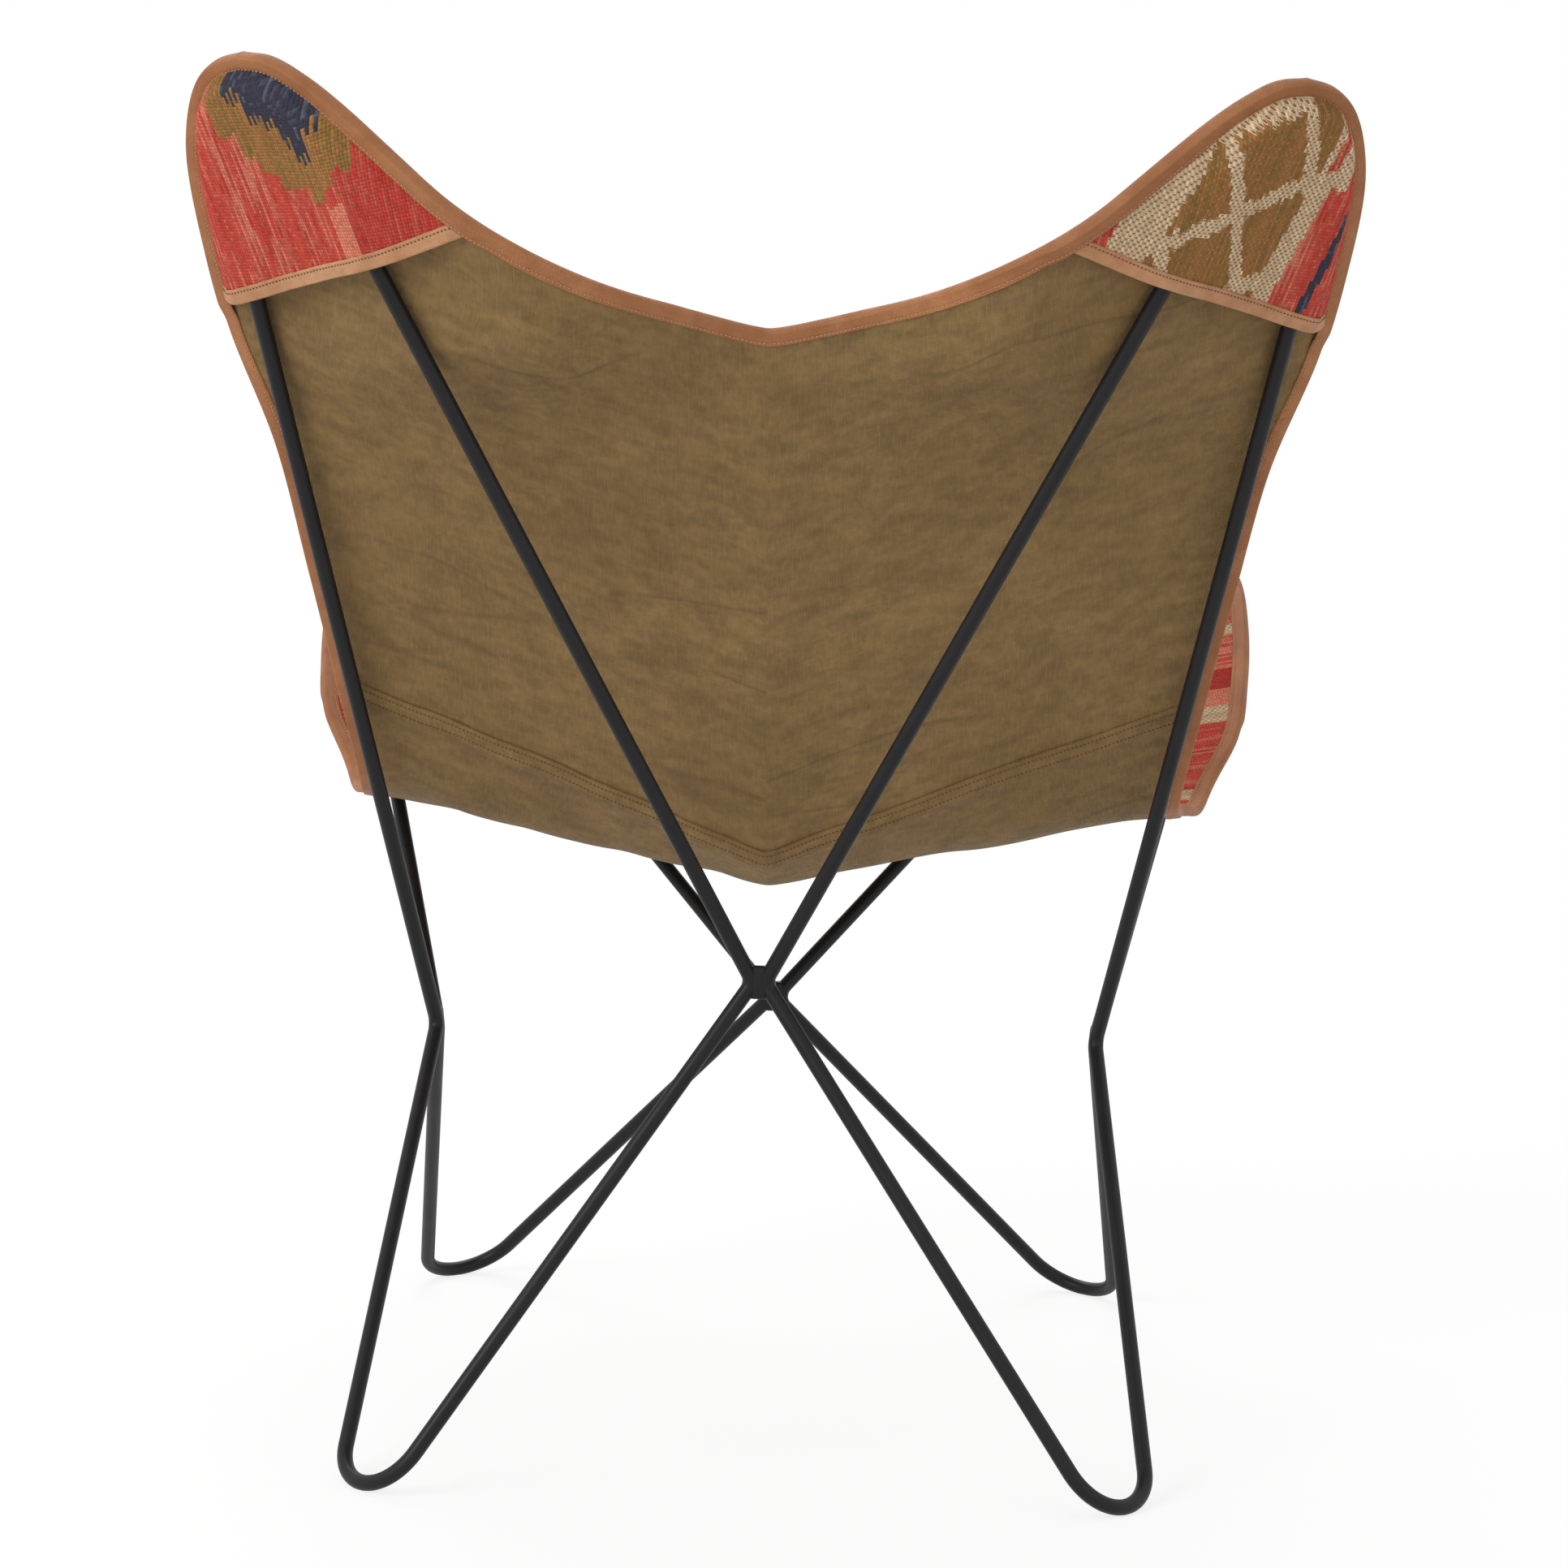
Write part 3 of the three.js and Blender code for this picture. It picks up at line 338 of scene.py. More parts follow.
# %% A wing's own frame
def wing_frame(loop):
    """The wing's axis, its direction across to the side edge, and up to the seat, at its hoop."""
    along = unit(loop["hoop"] - (loop["side"] + loop["middle"]) / 2)
    up = unit(np.cross(loop["side"] - loop["hoop"], loop["middle"] - loop["hoop"]))
    up = up * np.sign(up[2])
    across = unit(np.cross(along, up))
    across = across * np.sign(across @ (loop["side"] - loop["middle"]))
    return {"along": along, "across": across, "up": up, "origin": loop["hoop"] + up * SLING_RISE}


def wing_point(wing, along, across, lift=0.0):
    """origin + along, across and lift times the wing's three directions."""
    along, across, lift = (np.asarray(x, dtype=float)[..., None] for x in (along, across, lift))
    return wing["origin"] + along * wing["along"] + across * wing["across"] + lift * wing["up"]


def wing_place(wing, points):
    """A point's places along and across the wing."""
    return (points - wing["origin"]) @ wing["along"], (points - wing["origin"]) @ wing["across"]


back_wing, front_wing = wing_frame(back_loop), wing_frame(front_loop)
print("back wing leans", round(math.degrees(math.acos(back_wing["up"][2])), 1), "degrees")

# %% Curves of the edge and the middle line
TIP_REACH = 15 * MM
TIP_ANGLES = np.radians([46, 22, 0])
BACK_WING_TOP = np.array([[-62, 73], [-20, 47], [22, 20]]) * MM
BACK_WING_SIDE = np.array([[-2, 24], [-74, 30], [-126, 28], [-205, 15], [-300, 14], [-395, 14]]) * MM
FRONT_WING_SIDE = np.array([[-172, 34], [-112, 45], [-60, 39], [-8, 27]]) * MM
FRONT_WING_EDGE = np.array([[-96, 30], [-52, 19], [0, 19]]) * MM
SPINE_BACK = np.array([[0, 300, 728], [0, 205, 561], [0, 125, 421]]) * MM
SPINE_SEAM = np.array([[0, 95, 374]]) * MM
SPINE_SEAT = np.array([[0, 45, 355], [0, -8, 349], [0, -110, 356], [0, -315, 396]]) * MM
TOP_EDGE_MIDDLE = np.array([[34, 310, 736], [82, 330, 752], [140, 357, 784]]) * MM
SIDE_DIP = np.array([[268, 62, 419], [272, 10, 404], [280, -62, 396]]) * MM
FRONT_EDGE_MIDDLE = np.array([[110, -324, 414]]) * MM


def beside_rod(wing, bend, joint, places):
    """The edge at each place along a straight rod, at a reach beyond the rod's outside."""
    (from_along, from_across), (to_along, to_across) = wing_place(wing, bend), wing_place(wing, joint)
    share = (places[:, 0] - from_along) / (to_along - from_along)
    rod = from_across + (to_across - from_across) * share
    return wing_point(wing, places[:, 0], rod + np.sign(rod) * (ROD_RADIUS + places[:, 1]))


def tip_round(wing, side):
    """Places on a circle about the hoop's middle, from one side to the tip."""
    radius = HOOP_RADIUS + ROD_RADIUS + TIP_REACH
    return wing_point(wing, radius * np.cos(TIP_ANGLES), side * radius * np.sin(TIP_ANGLES))


def smooth_curve(*runs, samples=240):
    """A cubic through the places, with knots at the root of each chord, by the share of its length."""
    p = np.vstack(runs)
    p = np.vstack([2 * p[0] - p[1], p, 2 * p[-1] - p[-2]])
    knots = np.concatenate([[0], np.cumsum(np.linalg.norm(np.diff(p, axis=0), axis=1) ** 0.5)])
    line = []
    for i in range(1, len(p) - 2):
        t = np.linspace(knots[i], knots[i + 1], samples, endpoint=False)[:, None]
        k0, k1, k2, k3 = knots[i - 1:i + 3]
        a1 = (k1 - t) / (k1 - k0) * p[i - 1] + (t - k0) / (k1 - k0) * p[i]
        a2 = (k2 - t) / (k2 - k1) * p[i] + (t - k1) / (k2 - k1) * p[i + 1]
        a3 = (k3 - t) / (k3 - k2) * p[i + 1] + (t - k2) / (k3 - k2) * p[i + 2]
        b1 = (k2 - t) / (k2 - k0) * a1 + (t - k0) / (k2 - k0) * a2
        b2 = (k3 - t) / (k3 - k1) * a2 + (t - k1) / (k3 - k1) * a3
        line.append((k2 - t) / (k2 - k1) * b1 + (t - k1) / (k2 - k1) * b2)
    line = np.vstack([*line, p[-2:-1]])
    gone = distance_along(line)
    return lambda share: at_places(np.asarray(share) * gone[-1], gone, line)


back_side = beside_rod(back_wing, back_loop["hoop_side"], back_loop["side"], BACK_WING_SIDE)
spine_back = smooth_curve(SPINE_BACK, SPINE_SEAM)
spine_seat = smooth_curve(SPINE_SEAM, SPINE_SEAT)
top_edge = smooth_curve(
    SPINE_BACK[:1], TOP_EDGE_MIDDLE,
    beside_rod(back_wing, back_loop["hoop_middle"], back_loop["middle"], BACK_WING_TOP),
    tip_round(back_wing, -1))
side_back = smooth_curve(tip_round(back_wing, 1)[::-1], back_side)
side_seat = smooth_curve(
    back_side[-1:], SIDE_DIP,
    beside_rod(front_wing, front_loop["hoop_side"], front_loop["side"], FRONT_WING_SIDE),
    tip_round(front_wing, 1))
front_edge = smooth_curve(
    SPINE_SEAT[-1:], FRONT_EDGE_MIDDLE,
    beside_rod(front_wing, front_loop["hoop_middle"], front_loop["middle"], FRONT_WING_EDGE),
    tip_round(front_wing, -1))
print("top edge's lowest point", np.round(top_edge(0.0), 3), "and tip", np.round(top_edge(1.0), 3))

# %% [markdown]
# The sling's surface
#
# Between its middle line and its side edge the cloth hangs almost straight, and towards the top and
# the front it takes on the curve of the edge. In each wing the rods pull it flat. So the surface is a
# ruled one with the edge's bow added, drawn into the wing's plane. The pull along the top edge evens
# out its curve, the keel down the middle is rounded a little, and soft hollows, as slack cloth has,
# push the cloth towards the seat. A cloth simulation could drape it, but this sling is stretched far
# more than it hangs, so a formula keeps its outline and gives the same folds each run.

# %% Sling surface
WING_HOLD_ALONG = np.array([-225, -130]) * MM
WING_HOLD_ACROSS = np.array([-195, -125]) * MM
EASE_ROUNDS = 3
EASE_WINDOW = 0.3
EASE_FROM_MIDDLE = (0, 0.12)
EASE_FROM_TIP = (0.3, 0.5)


def wing_hold(wing, points):
    """How far the cloth is drawn into the wing's plane: 1 at the pocket and 0 at the middle."""
    along, across = wing_place(wing, points)
    return smoothstep(along, *WING_HOLD_ALONG) * smoothstep(across, *WING_HOLD_ACROSS)


def held(width, length):
    """Spine + width (side - spine) + length^2 times the edge's bow, drawn into the wing's plane."""
    back = (length < 0)[..., None]
    share = np.where(length < 0, 1 + length, length)
    spine = np.where(back, spine_back(share), spine_seat(share))
    side = np.where(back, side_back(share), side_seat(share))
    bows = [edge(width) - edge(0.0) - width[..., None] * (edge(1.0) - edge(0.0))
            for edge in (top_edge, front_edge)]
    point = spine + width[..., None] * (side - spine)
    point = point + np.where(back, bows[0], bows[1]) * (length**2)[..., None]
    hold = np.zeros(width.shape)
    up = np.zeros(point.shape)
    for wing, here in ((back_wing, length < 0), (front_wing, length >= 0)):
        pull = wing_hold(wing, point) * here
        point = point - (((point - wing["origin"]) @ wing["up"]) * pull)[..., None] * wing["up"]
        hold = hold + pull
        up = up + wing["up"] * here[..., None]
    return point, hold, up


def eased(points):
    """Points averaged over a window of their run, and left as they are near both ends."""
    share = np.linspace(0, 1, len(points))
    free = (smoothstep(share, *EASE_FROM_MIDDLE) * smoothstep(1 - share, *EASE_FROM_TIP))[:, None]
    weights = np.hanning(2 * int(EASE_WINDOW * len(points) / 2) + 1)
    reach = len(weights) // 2
    for _ in range(EASE_ROUNDS):
        before, after = 2 * points[0] - points[reach:0:-1], 2 * points[-1] - points[-2:-reach - 2:-1]
        padded = np.vstack([before, points, after])
        soft = [np.convolve(padded[:, k], weights / weights.sum(), "valid") for k in range(3)]
        points = points + (np.stack(soft, axis=-1) - points) * free
    return points


rim_shares = np.linspace(0, 1, 401)
held_rim = held(rim_shares, np.full(rim_shares.shape, -1.0))[0]
rim_ease = eased(held_rim) - held_rim


def ruled(width, length):
    """The held surface with its top edge eased; the ease dies away below the edge as length^4."""
    point, hold, up = held(width, length)
    ease = at_places(width, rim_shares, rim_ease)
    return point + ease * (np.clip(-length, 0, 1) ** 4)[..., None], hold, up


print("top edge is eased by up to", round(float(np.linalg.norm(rim_ease, axis=1).max() * 1000), 1), "mm")

# %% Keel and slack
KEEL_ROUND = 0.016
KEEL_REACH = (0.05, 0.5)
SLACK = 3.0 * MM
SLACK_FROM_SIDE = (0, 0.14)
SLACK_FROM_END = (0, 0.18)
SLACK_FROM_KEEL = (0, 0.12)
WAVE_SCALE = np.array([0.3, 0.45])
WAVE_LENGTHS = (60 * MM, 170 * MM)
rng = np.random.default_rng(11)
lowest, highest = [WAVE_LENGTHS[0], 0, 0], [WAVE_LENGTHS[1], np.pi, 2 * np.pi]
waves = {half: rng.uniform(lowest, highest, (9, 3)) for _, half in HALVES}


def keeled(width, length):
    """The ruled surface with its keel rounded: y and z follow sqrt(w^2 + r^2) - r near the middle."""
    rounded = np.sqrt(width**2 + KEEL_ROUND**2) - KEEL_ROUND
    nearer = rounded + (width - rounded) * smoothstep(width, *KEEL_REACH)
    point, hold, up = ruled(width, length)
    return np.concatenate([point[..., :1], ruled(nearer, length)[0][..., 1:]], axis=-1), hold, up


def slack(width, length, hold, half):
    """Hollows of 0.5 + 0.5 tanh(sum of waves / 3), gone at the edges, the keel and in the wings."""
    place = np.stack([width, length], axis=-1) * WAVE_SCALE
    total = np.zeros(width.shape)
    for wave, turn, start in waves[half]:
        total += np.cos(place @ [math.cos(turn), math.sin(turn)] * 2 * math.pi / wave + start)
    inside = smoothstep(1 - width, *SLACK_FROM_SIDE) * smoothstep(1 - abs(length), *SLACK_FROM_END)
    inside = inside * smoothstep(width, *SLACK_FROM_KEEL)
    return SLACK * inside * (1 - hold) * (0.5 + 0.5 * np.tanh(total / 3))


print(len(waves[1]), "waves of slack on each half, up to", SLACK * 1000, "mm deep")

# %% Points of the cloth
KEEL_LEVEL = (0, 0.06)


def cloth(width, length, half=1, step=2e-3):
    """Points of the sling's middle surface on one half, and its direction to the seat there."""
    width, length = np.broadcast_arrays(np.asarray(width, float), np.asarray(length, float))
    point, hold, up = keeled(width, length)
    ends = [keeled(np.clip(width + d, 0, 1), length)[0] for d in (-step, step)]
    tops = [keeled(width, np.clip(length + d, -1, 1))[0] for d in (-step, step)]
    normal = unit(np.cross(tops[1] - tops[0], ends[1] - ends[0]))
    normal[..., 0] *= smoothstep(width, *KEEL_LEVEL)
    normal = unit(unit(normal) * (1 - hold[..., None]) + up * hold[..., None])
    point = point + normal * slack(width, length, hold, half)[..., None] + FRAME_SHIFT
    return (point, normal) if half > 0 else (mirrored(point), mirrored(normal))


def both_halves(lengths, half_steps=104):
    """Rows at the given lengths over the whole sling, from its right edge to its left one."""
    widths = np.linspace(0, 1, half_steps + 1)[None, :]
    lengths = np.asarray(lengths)[:, None]
    right, left = cloth(widths, lengths, -1), cloth(widths, lengths, 1)
    return [np.concatenate([r[:, :0:-1], l], axis=1) for r, l in zip(right, left)]


seam_middle, seam_up = cloth([0.0], [0.0])
print("middle of the seam", np.round(seam_middle, 3), "facing", np.round(seam_up, 2))

# %% [markdown]
# Kilim and canvas sheets
#
# Each panel is a closed sheet: one grid for its seat side, one for its back, and a strip round the
# rim. A Solidify modifier could give the thickness, but two grids let the lapped seam have its own
# heights on either face. Its flat coordinates are distances along the cloth, across from the middle
# and along from the seam, so the weave keeps its scale where the sling narrows. The canvas of the
# seat laps over the back's by the width of the seam.

# %% Sheet pieces
def flat_places(points, lengths):
    """Distances along the cloth: across from the middle column, and along from the seam's row."""
    across = np.linalg.norm(np.diff(points, axis=1), axis=-1)
    across = np.concatenate([np.zeros((len(points), 1)), across.cumsum(axis=1)], axis=1)
    along = np.linalg.norm(np.diff(points, axis=0), axis=-1)
    along = np.concatenate([np.zeros((1, points.shape[1])), along.cumsum(axis=0)], axis=0)
    seam = int(np.argmin(abs(np.asarray(lengths))))
    middle = points.shape[1] // 2
    return np.stack([across - across[:, middle:middle + 1], along - along[seam:seam + 1]], axis=-1)


def closed_sheet(name, seat_side, back_side, uv):
    """Two grids with the same layout, joined round the rim into one closed skin."""
    rows, columns = seat_side.shape[:2]
    count = rows * columns
    number = np.arange(count).reshape(rows, columns)
    ring = np.concatenate([number[0], number[1:, -1], number[-1, -2::-1], number[-2:0:-1, 0]])
    after = np.roll(ring, -1)
    front = grid_faces(rows, columns)
    strip = np.stack([ring, after, after + count, ring + count], axis=-1)
    faces = np.concatenate([front, front[:, ::-1] + count, strip])
    points = np.concatenate([seat_side.reshape(-1, 3), back_side.reshape(-1, 3)])
    return make_piece(name, points, faces, np.concatenate([uv.reshape(-1, 2)] * 2))


def skin_area(points):
    """Area of a grid of points, by its triangles."""
    a, b, c, d = points[:-1, :-1], points[1:, :-1], points[1:, 1:], points[:-1, 1:]
    halves = np.cross(b - a, c - a), np.cross(c - a, d - a)
    return float(sum(np.linalg.norm(half, axis=-1).sum() for half in halves) / 2)


def hang(points):
    """Works out the flat size of a sheet that hangs stretched from the rods; the size is not kept."""
    area = skin_area(points)


def drop(points, normals, height):
    """Points moved along their directions by a height."""
    return points + normals * np.asarray(height)[..., None]


print("sheet helpers ready")

# %% Back and seat panels
PANEL_RUN = 420 * MM
LAP_EASE = 0.012
seam_share = GAP / 2 / PANEL_RUN
back_lengths = np.linspace(-1, -seam_share, 118)
seat_lengths = np.linspace(seam_share, 1, 136)
lap_lengths = np.linspace(-SEAM_LAP / PANEL_RUN, 0, 12)[:-1]
kilim_panels, canvas_panels = [], []
for name, lengths in (("back", back_lengths), ("seat", seat_lengths)):
    points, normals = both_halves(lengths)
    uv = flat_places(points, lengths)
    top, under = drop(points, normals, KILIM_FACE), drop(points, normals, GAP / 2)
    panel = closed_sheet(f"kilim_{name}", top, under, uv)
    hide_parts(f"kilim_{name}_panel")
    hang(points)
    kilim_panels.append(panel)

    lengths = np.concatenate([lap_lengths, lengths]) if name == "seat" else lengths
    points, normals = both_halves(lengths)
    uv = flat_places(points, lengths)
    outside = CANVAS_FACE + (LAP_FACE - CANVAS_FACE) * smoothstep(-lengths, -LAP_EASE, 0)
    if name == "back":
        outside = np.full(lengths.shape, CANVAS_FACE)
    inner = drop(points, normals, np.broadcast_to((outside + CANVAS)[:, None], points.shape[:2]))
    outer = drop(points, normals, np.broadcast_to(outside[:, None], points.shape[:2]))
    panel = closed_sheet(f"canvas_{name}", inner, outer, uv)
    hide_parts(f"canvas_{name}_panel")
    hang(points)
    canvas_panels.append(panel)

# %% [markdown]
# The rim
#
# The rim runs from the middle of the top edge round the back wing's tip, down the side, round the
# front wing's tip and to the middle of the front edge. Each station knows which way the rim runs and
# which way is out of the cloth, and the pockets' mouths are places along it.

# %% Rim stations
BACK_MOUTH = {"inner": -62 * MM, "outer": -105 * MM}
FRONT_MOUTH = {"inner": -92 * MM, "outer": -92 * MM}
HALF_WIDTH = 300 * MM


def even(widths, lengths, spacing=1.6 * MM):
    """Parameters resampled so that stations along the curve are evenly spaced."""
    gone = distance_along(cloth(widths, lengths)[0])
    places = np.linspace(0, gone[-1], int(gone[-1] / spacing) + 1)
    return np.interp(places, gone, widths), np.interp(places, gone, lengths)


fine = np.linspace(0, 1, 1200)
whole = np.linspace(-1, 1, 2400)
top_run = even(fine, np.full(fine.shape, -1.0))
side_run = even(np.ones(whole.shape), whole)
front_run = even(fine[::-1], np.ones(fine.shape))
rim_widths, rim_lengths = (np.concatenate([a, b[1:], c[1:]])
                           for a, b, c in zip(top_run, side_run, front_run))
rim, rim_up = cloth(rim_widths, rim_lengths)
rim_way = unit(np.gradient(rim, axis=0))
rim_way[[0, -1]] = [[1, 0, 0], [-1, 0, 0]]
rim_out = unit(np.cross(rim_up, rim_way))


def bend_inside(reach=BINDING_WIDTH, window=15):
    """k in h = k d^2: how the cloth leaves its plane at the rim, found one binding's width inside."""
    at_end = abs(rim_lengths) == 1
    width = rim_widths - np.where(at_end, 0, reach / HALF_WIDTH)
    length = rim_lengths * (1 - np.where(at_end, reach / PANEL_RUN, 0))
    inside = cloth(width, length)[0] - rim
    deep = -(inside * rim_out).sum(axis=-1)
    off_plane = (inside * rim_up).sum(axis=-1)
    bend = np.where(deep > reach / 2, off_plane / np.maximum(deep, reach / 2) ** 2, 0)
    weights = np.hanning(window) / np.hanning(window).sum()
    return np.convolve(np.pad(bend, window // 2, mode="edge"), weights, "valid")


rim_bend = bend_inside()
deepest = round(float(abs(rim_bend).max() * BINDING_WIDTH**2 * 1000), 2)
print("cloth leaves its plane by up to", deepest, "mm under the bindings")

# %% Pocket mouths
NEAR_TIP = 200
back_tip, front_tip = len(top_run[0]) - 1, len(top_run[0]) + len(side_run[0]) - 2


def mouth_station(wing, stations, along):
    """The rim station, among those given, that lies nearest to a place along the wing."""
    places = wing_place(wing, rim[stations] - FRAME_SHIFT)[0]
    return int(stations[np.argmin(abs(places - along))])


rim_count = len(rim)
back_mouth = (
    mouth_station(back_wing, np.arange(0, back_tip), BACK_MOUTH["inner"]),
    mouth_station(back_wing, np.arange(back_tip, back_tip + NEAR_TIP), BACK_MOUTH["outer"]))
front_mouth = (
    mouth_station(front_wing, np.arange(front_tip - NEAR_TIP, front_tip), FRONT_MOUTH["outer"]),
    mouth_station(front_wing, np.arange(front_tip, rim_count), FRONT_MOUTH["inner"]))
print(rim_count, "rim stations on each half, mouths at", back_mouth, front_mouth)

# %% [markdown]
# The pockets
#
# A pocket is a second piece of kilim sewn under the wing along the rim and left open at its mouth, so
# that the hoop slips in. The cloth runs down from the rim and round the rod, lies flat across both
# rods, and sinks a little between them. It could be draped by a simulation, but the hoop stretches
# the pocket so tight that a formula for its depth gives the same shape, and the same one each run.

# %% Pocket surfaces
ROD_STEPS = 90
POCKET_ENDS = 1.5
EVEN_SHARE = 0.4
MOUTH_MARGIN = 0.006
POCKET_SAG = 2.2 * MM
SAG_REACH = 30 * MM


def rod_room(wing, loop, points):
    """Distance outside the loop's rods in the wing's plane, and distance inside them (0 if not)."""
    hoop = loop["path"][:HOOP_STEPS + 1]
    line = np.vstack([np.linspace(loop["middle"], hoop[0], ROD_STEPS), hoop,
                      np.linspace(hoop[-1], loop["side"], ROD_STEPS)])
    ax, ay = wing_place(wing, line)
    bx, by = wing_place(wing, points - FRAME_SHIFT)
    shape, bx, by = bx.shape, bx.ravel(), by.ravel()
    distance = np.sqrt((bx[:, None] - ax) ** 2 + (by[:, None] - ay) ** 2).min(axis=1)
    over, under = ay >= 0, ay < 0
    order_over, order_under = np.argsort(ax[over]), np.argsort(ax[under])
    high = np.interp(bx, ax[over][order_over], ay[over][order_over], right=-1)
    low = np.interp(bx, ax[under][order_under], ay[under][order_under], right=1)
    inside = (by < high) & (by > low)
    outside = np.where(inside, 0, np.maximum(distance - ROD_RADIUS, 0))
    within = np.where(inside, np.maximum(distance - ROD_RADIUS, 0), 0)
    return outside.reshape(shape), within.reshape(shape)


def pocket_surface(wing, loop, mouth, columns=150, rows=70):
    """Rows from the mouth to the rim: depth = rise sin(pi t / 2), t from rim to rod, with a sag."""
    stations = np.linspace(mouth[0] + POCKET_ENDS, mouth[1] - POCKET_ENDS, columns)
    rim_row = at_places(stations, np.arange(rim_count), rim)
    start, chord = rim[mouth[0]], rim[mouth[1]] - rim[mouth[0]]
    share = np.clip((rim_row - start) @ chord / (chord @ chord), 0, 1)
    share = np.linspace(0, 1, columns) * EVEN_SHARE + share * (1 - EVEN_SHARE)
    share = (share - share[0]) / (share[-1] - share[0])
    share = MOUTH_MARGIN + (1 - 2 * MOUTH_MARGIN) * share
    mouth_row = start + share[:, None] * chord
    t = np.linspace(0, 1, rows)[:, None, None]
    points = mouth_row + (rim_row - mouth_row) * t
    near_rim = rim[mouth[0]:mouth[1] + 1:4]
    edge = np.linalg.norm(points[:, :, None] - near_rim, axis=-1).min(axis=2)
    outside, within = rod_room(wing, loop, points)
    run = np.maximum(edge - POCKET_FLAT, 0)
    fall = np.sin(np.clip(run / np.maximum(run + outside, 1e-9), 0, 1) * math.pi / 2)
    sag = POCKET_SAG * smoothstep(within, 0, SAG_REACH)
    depth = POCKET_RISE * fall - sag
    up = np.broadcast_to(wing["up"], points.shape)
    uv = np.stack(wing_place(wing, points - FRAME_SHIFT), axis=-1)
    return points, up, POCKET_SEAT - depth, uv


pockets, pocket_rows = [], {}
for place, wing, loop, mouth in (("back", back_wing, back_loop, back_mouth),
                                 ("front", front_wing, front_loop, front_mouth)):
    points, up, height, uv = pocket_surface(wing, loop, mouth)
    inner = drop(points, up, height)
    slope = unit(np.cross(np.gradient(inner, axis=0), np.gradient(inner, axis=1)))
    slope = slope * np.sign((slope * up).sum(axis=-1, keepdims=True))
    outer = drop(inner, slope, np.full(height.shape, -KILIM))
    pocket_rows[place] = (inner, outer, slope)
    for side, half in HALVES:
        grids = [inner[::-1], outer[::-1]] if half > 0 else [mirrored(inner), mirrored(outer)]
        pocket = closed_sheet(f"pocket_cloth_{place}_{side}", *grids, uv[::-1] if half > 0 else uv)
        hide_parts(f"pocket_{place}_{side}")
        hang(inner)
        pockets.append(pocket)
print(len(pockets), "pockets,", round(float(POCKET_RISE * 1000), 1), "mm deep")

# %% [markdown]
# Leather bindings
#
# A strip of leather is folded round the edge of all the layers. Its section is a long U: two leaves
# that lie on the faces and a half round outside the edge. A bevelled curve could not follow it, since
# the fold is wider by one more cloth where a pocket is sewn in. So the section is worked out anew at
# every station of the rim. The line of stitches draws each leaf down a little.

# %% Folded strip
STITCH_INSET = 2.3 * MM
STITCH_DRAW = 0.9 * MM


def fold_section(width, steps=16):
    """Places out of the edge, the share of the top face, and the share of the leather's thickness."""
    leaf = np.linspace(-1, 0, steps) * width
    drawn = np.exp(-(((leaf + width - STITCH_INSET) / STITCH_DRAW) ** 2))
    rounded = 0.35 + 0.65 * smoothstep(leaf, -width, -width + 0.8 * MM)
    lift = rounded - 0.3 * drawn
    turn = np.linspace(0, math.pi, steps)[1:-1]
    nose = (LEATHER + GAP) * np.sin(turn)
    out = np.concatenate([leaf, nose, leaf[::-1]])
    top = np.concatenate([np.ones(steps), (1 + np.cos(turn)) / 2, np.zeros(steps)])
    thick = np.concatenate([lift, np.cos(turn), -lift[::-1]])
    inner_out = np.minimum(out, GAP / 2)
    return np.stack([out, top, thick]), np.stack([inner_out, top, np.zeros(len(out))])


def fold_piece(name, edge, up, out, top, under, width, bend=0.0):
    """Carries the section along an edge that bends inside by h = bend d^2, as a closed strip."""
    outer, inner = fold_section(width)
    section = np.concatenate([outer, inner[:, ::-1]], axis=1)
    top, under, bend = (np.broadcast_to(x, len(edge))[:, None] for x in (top, under, bend))
    height = section[1] * top + (1 - section[1]) * under + section[2] * LEATHER
    height = height + bend * np.minimum(section[0], 0) ** 2
    points = edge[:, None] + out[:, None] * section[0][:, None] + up[:, None] * height[..., None]
    stations, sides = points.shape[:2]
    gone = distance_along(edge)
    girth = np.linspace(0, 4 * width, sides)
    uv = np.stack(np.meshgrid(gone, girth, indexing="ij"), axis=-1)
    faces = grid_faces(stations, sides, close_columns=True)
    k = np.arange(sides // 2 - 1)
    cap = np.stack([k, k + 1, sides - 2 - k, sides - 1 - k], axis=-1)
    last = (stations - 1) * sides
    faces = np.concatenate([faces, cap, cap[:, ::-1] + last])
    return make_piece(name, points, faces, uv)


SEAT_LEAF = KILIM_FACE + GAP / 2
BACK_LEAF = CANVAS_FACE - GAP / 2
POCKET_LEAF = POCKET_SEAT - KILIM - GAP / 2
MOUTH_EASE = 10
LAP_RISE, LAP_FALL = (-0.05, -0.036), (-0.026, -0.012)
station = np.arange(rim_count)
in_pocket = sum(smoothstep(station, first - MOUTH_EASE, first)
                * smoothstep(-station, -last - MOUTH_EASE, -last)
                for first, last in (back_mouth, front_mouth))
on_lap = smoothstep(rim_lengths, *LAP_RISE) * smoothstep(-rim_lengths, *LAP_FALL)
rim_under = BACK_LEAF + (POCKET_LEAF - BACK_LEAF) * in_pocket - (CANVAS + GAP) * on_lap
widths = [round((SEAT_LEAF - leaf) * 1000, 1) for leaf in (BACK_LEAF, POCKET_LEAF)]
print("fold is", widths[0], "to", widths[1], "mm wide inside")

# %% Edge bindings
def across_middle(values, flip):
    """A run from the right half's end over the middle to the left half's, for an edge of the rim."""
    other = mirrored(values) if values.ndim > 1 else values
    if flip:
        return np.concatenate([values, other[-2::-1]])
    return np.concatenate([other[:0:-1], values])


def other_side(values):
    """A run on the right half, turned so that it runs the same way round the rim as the left one."""
    return (mirrored(values) if values.ndim > 1 else values)[::-1]


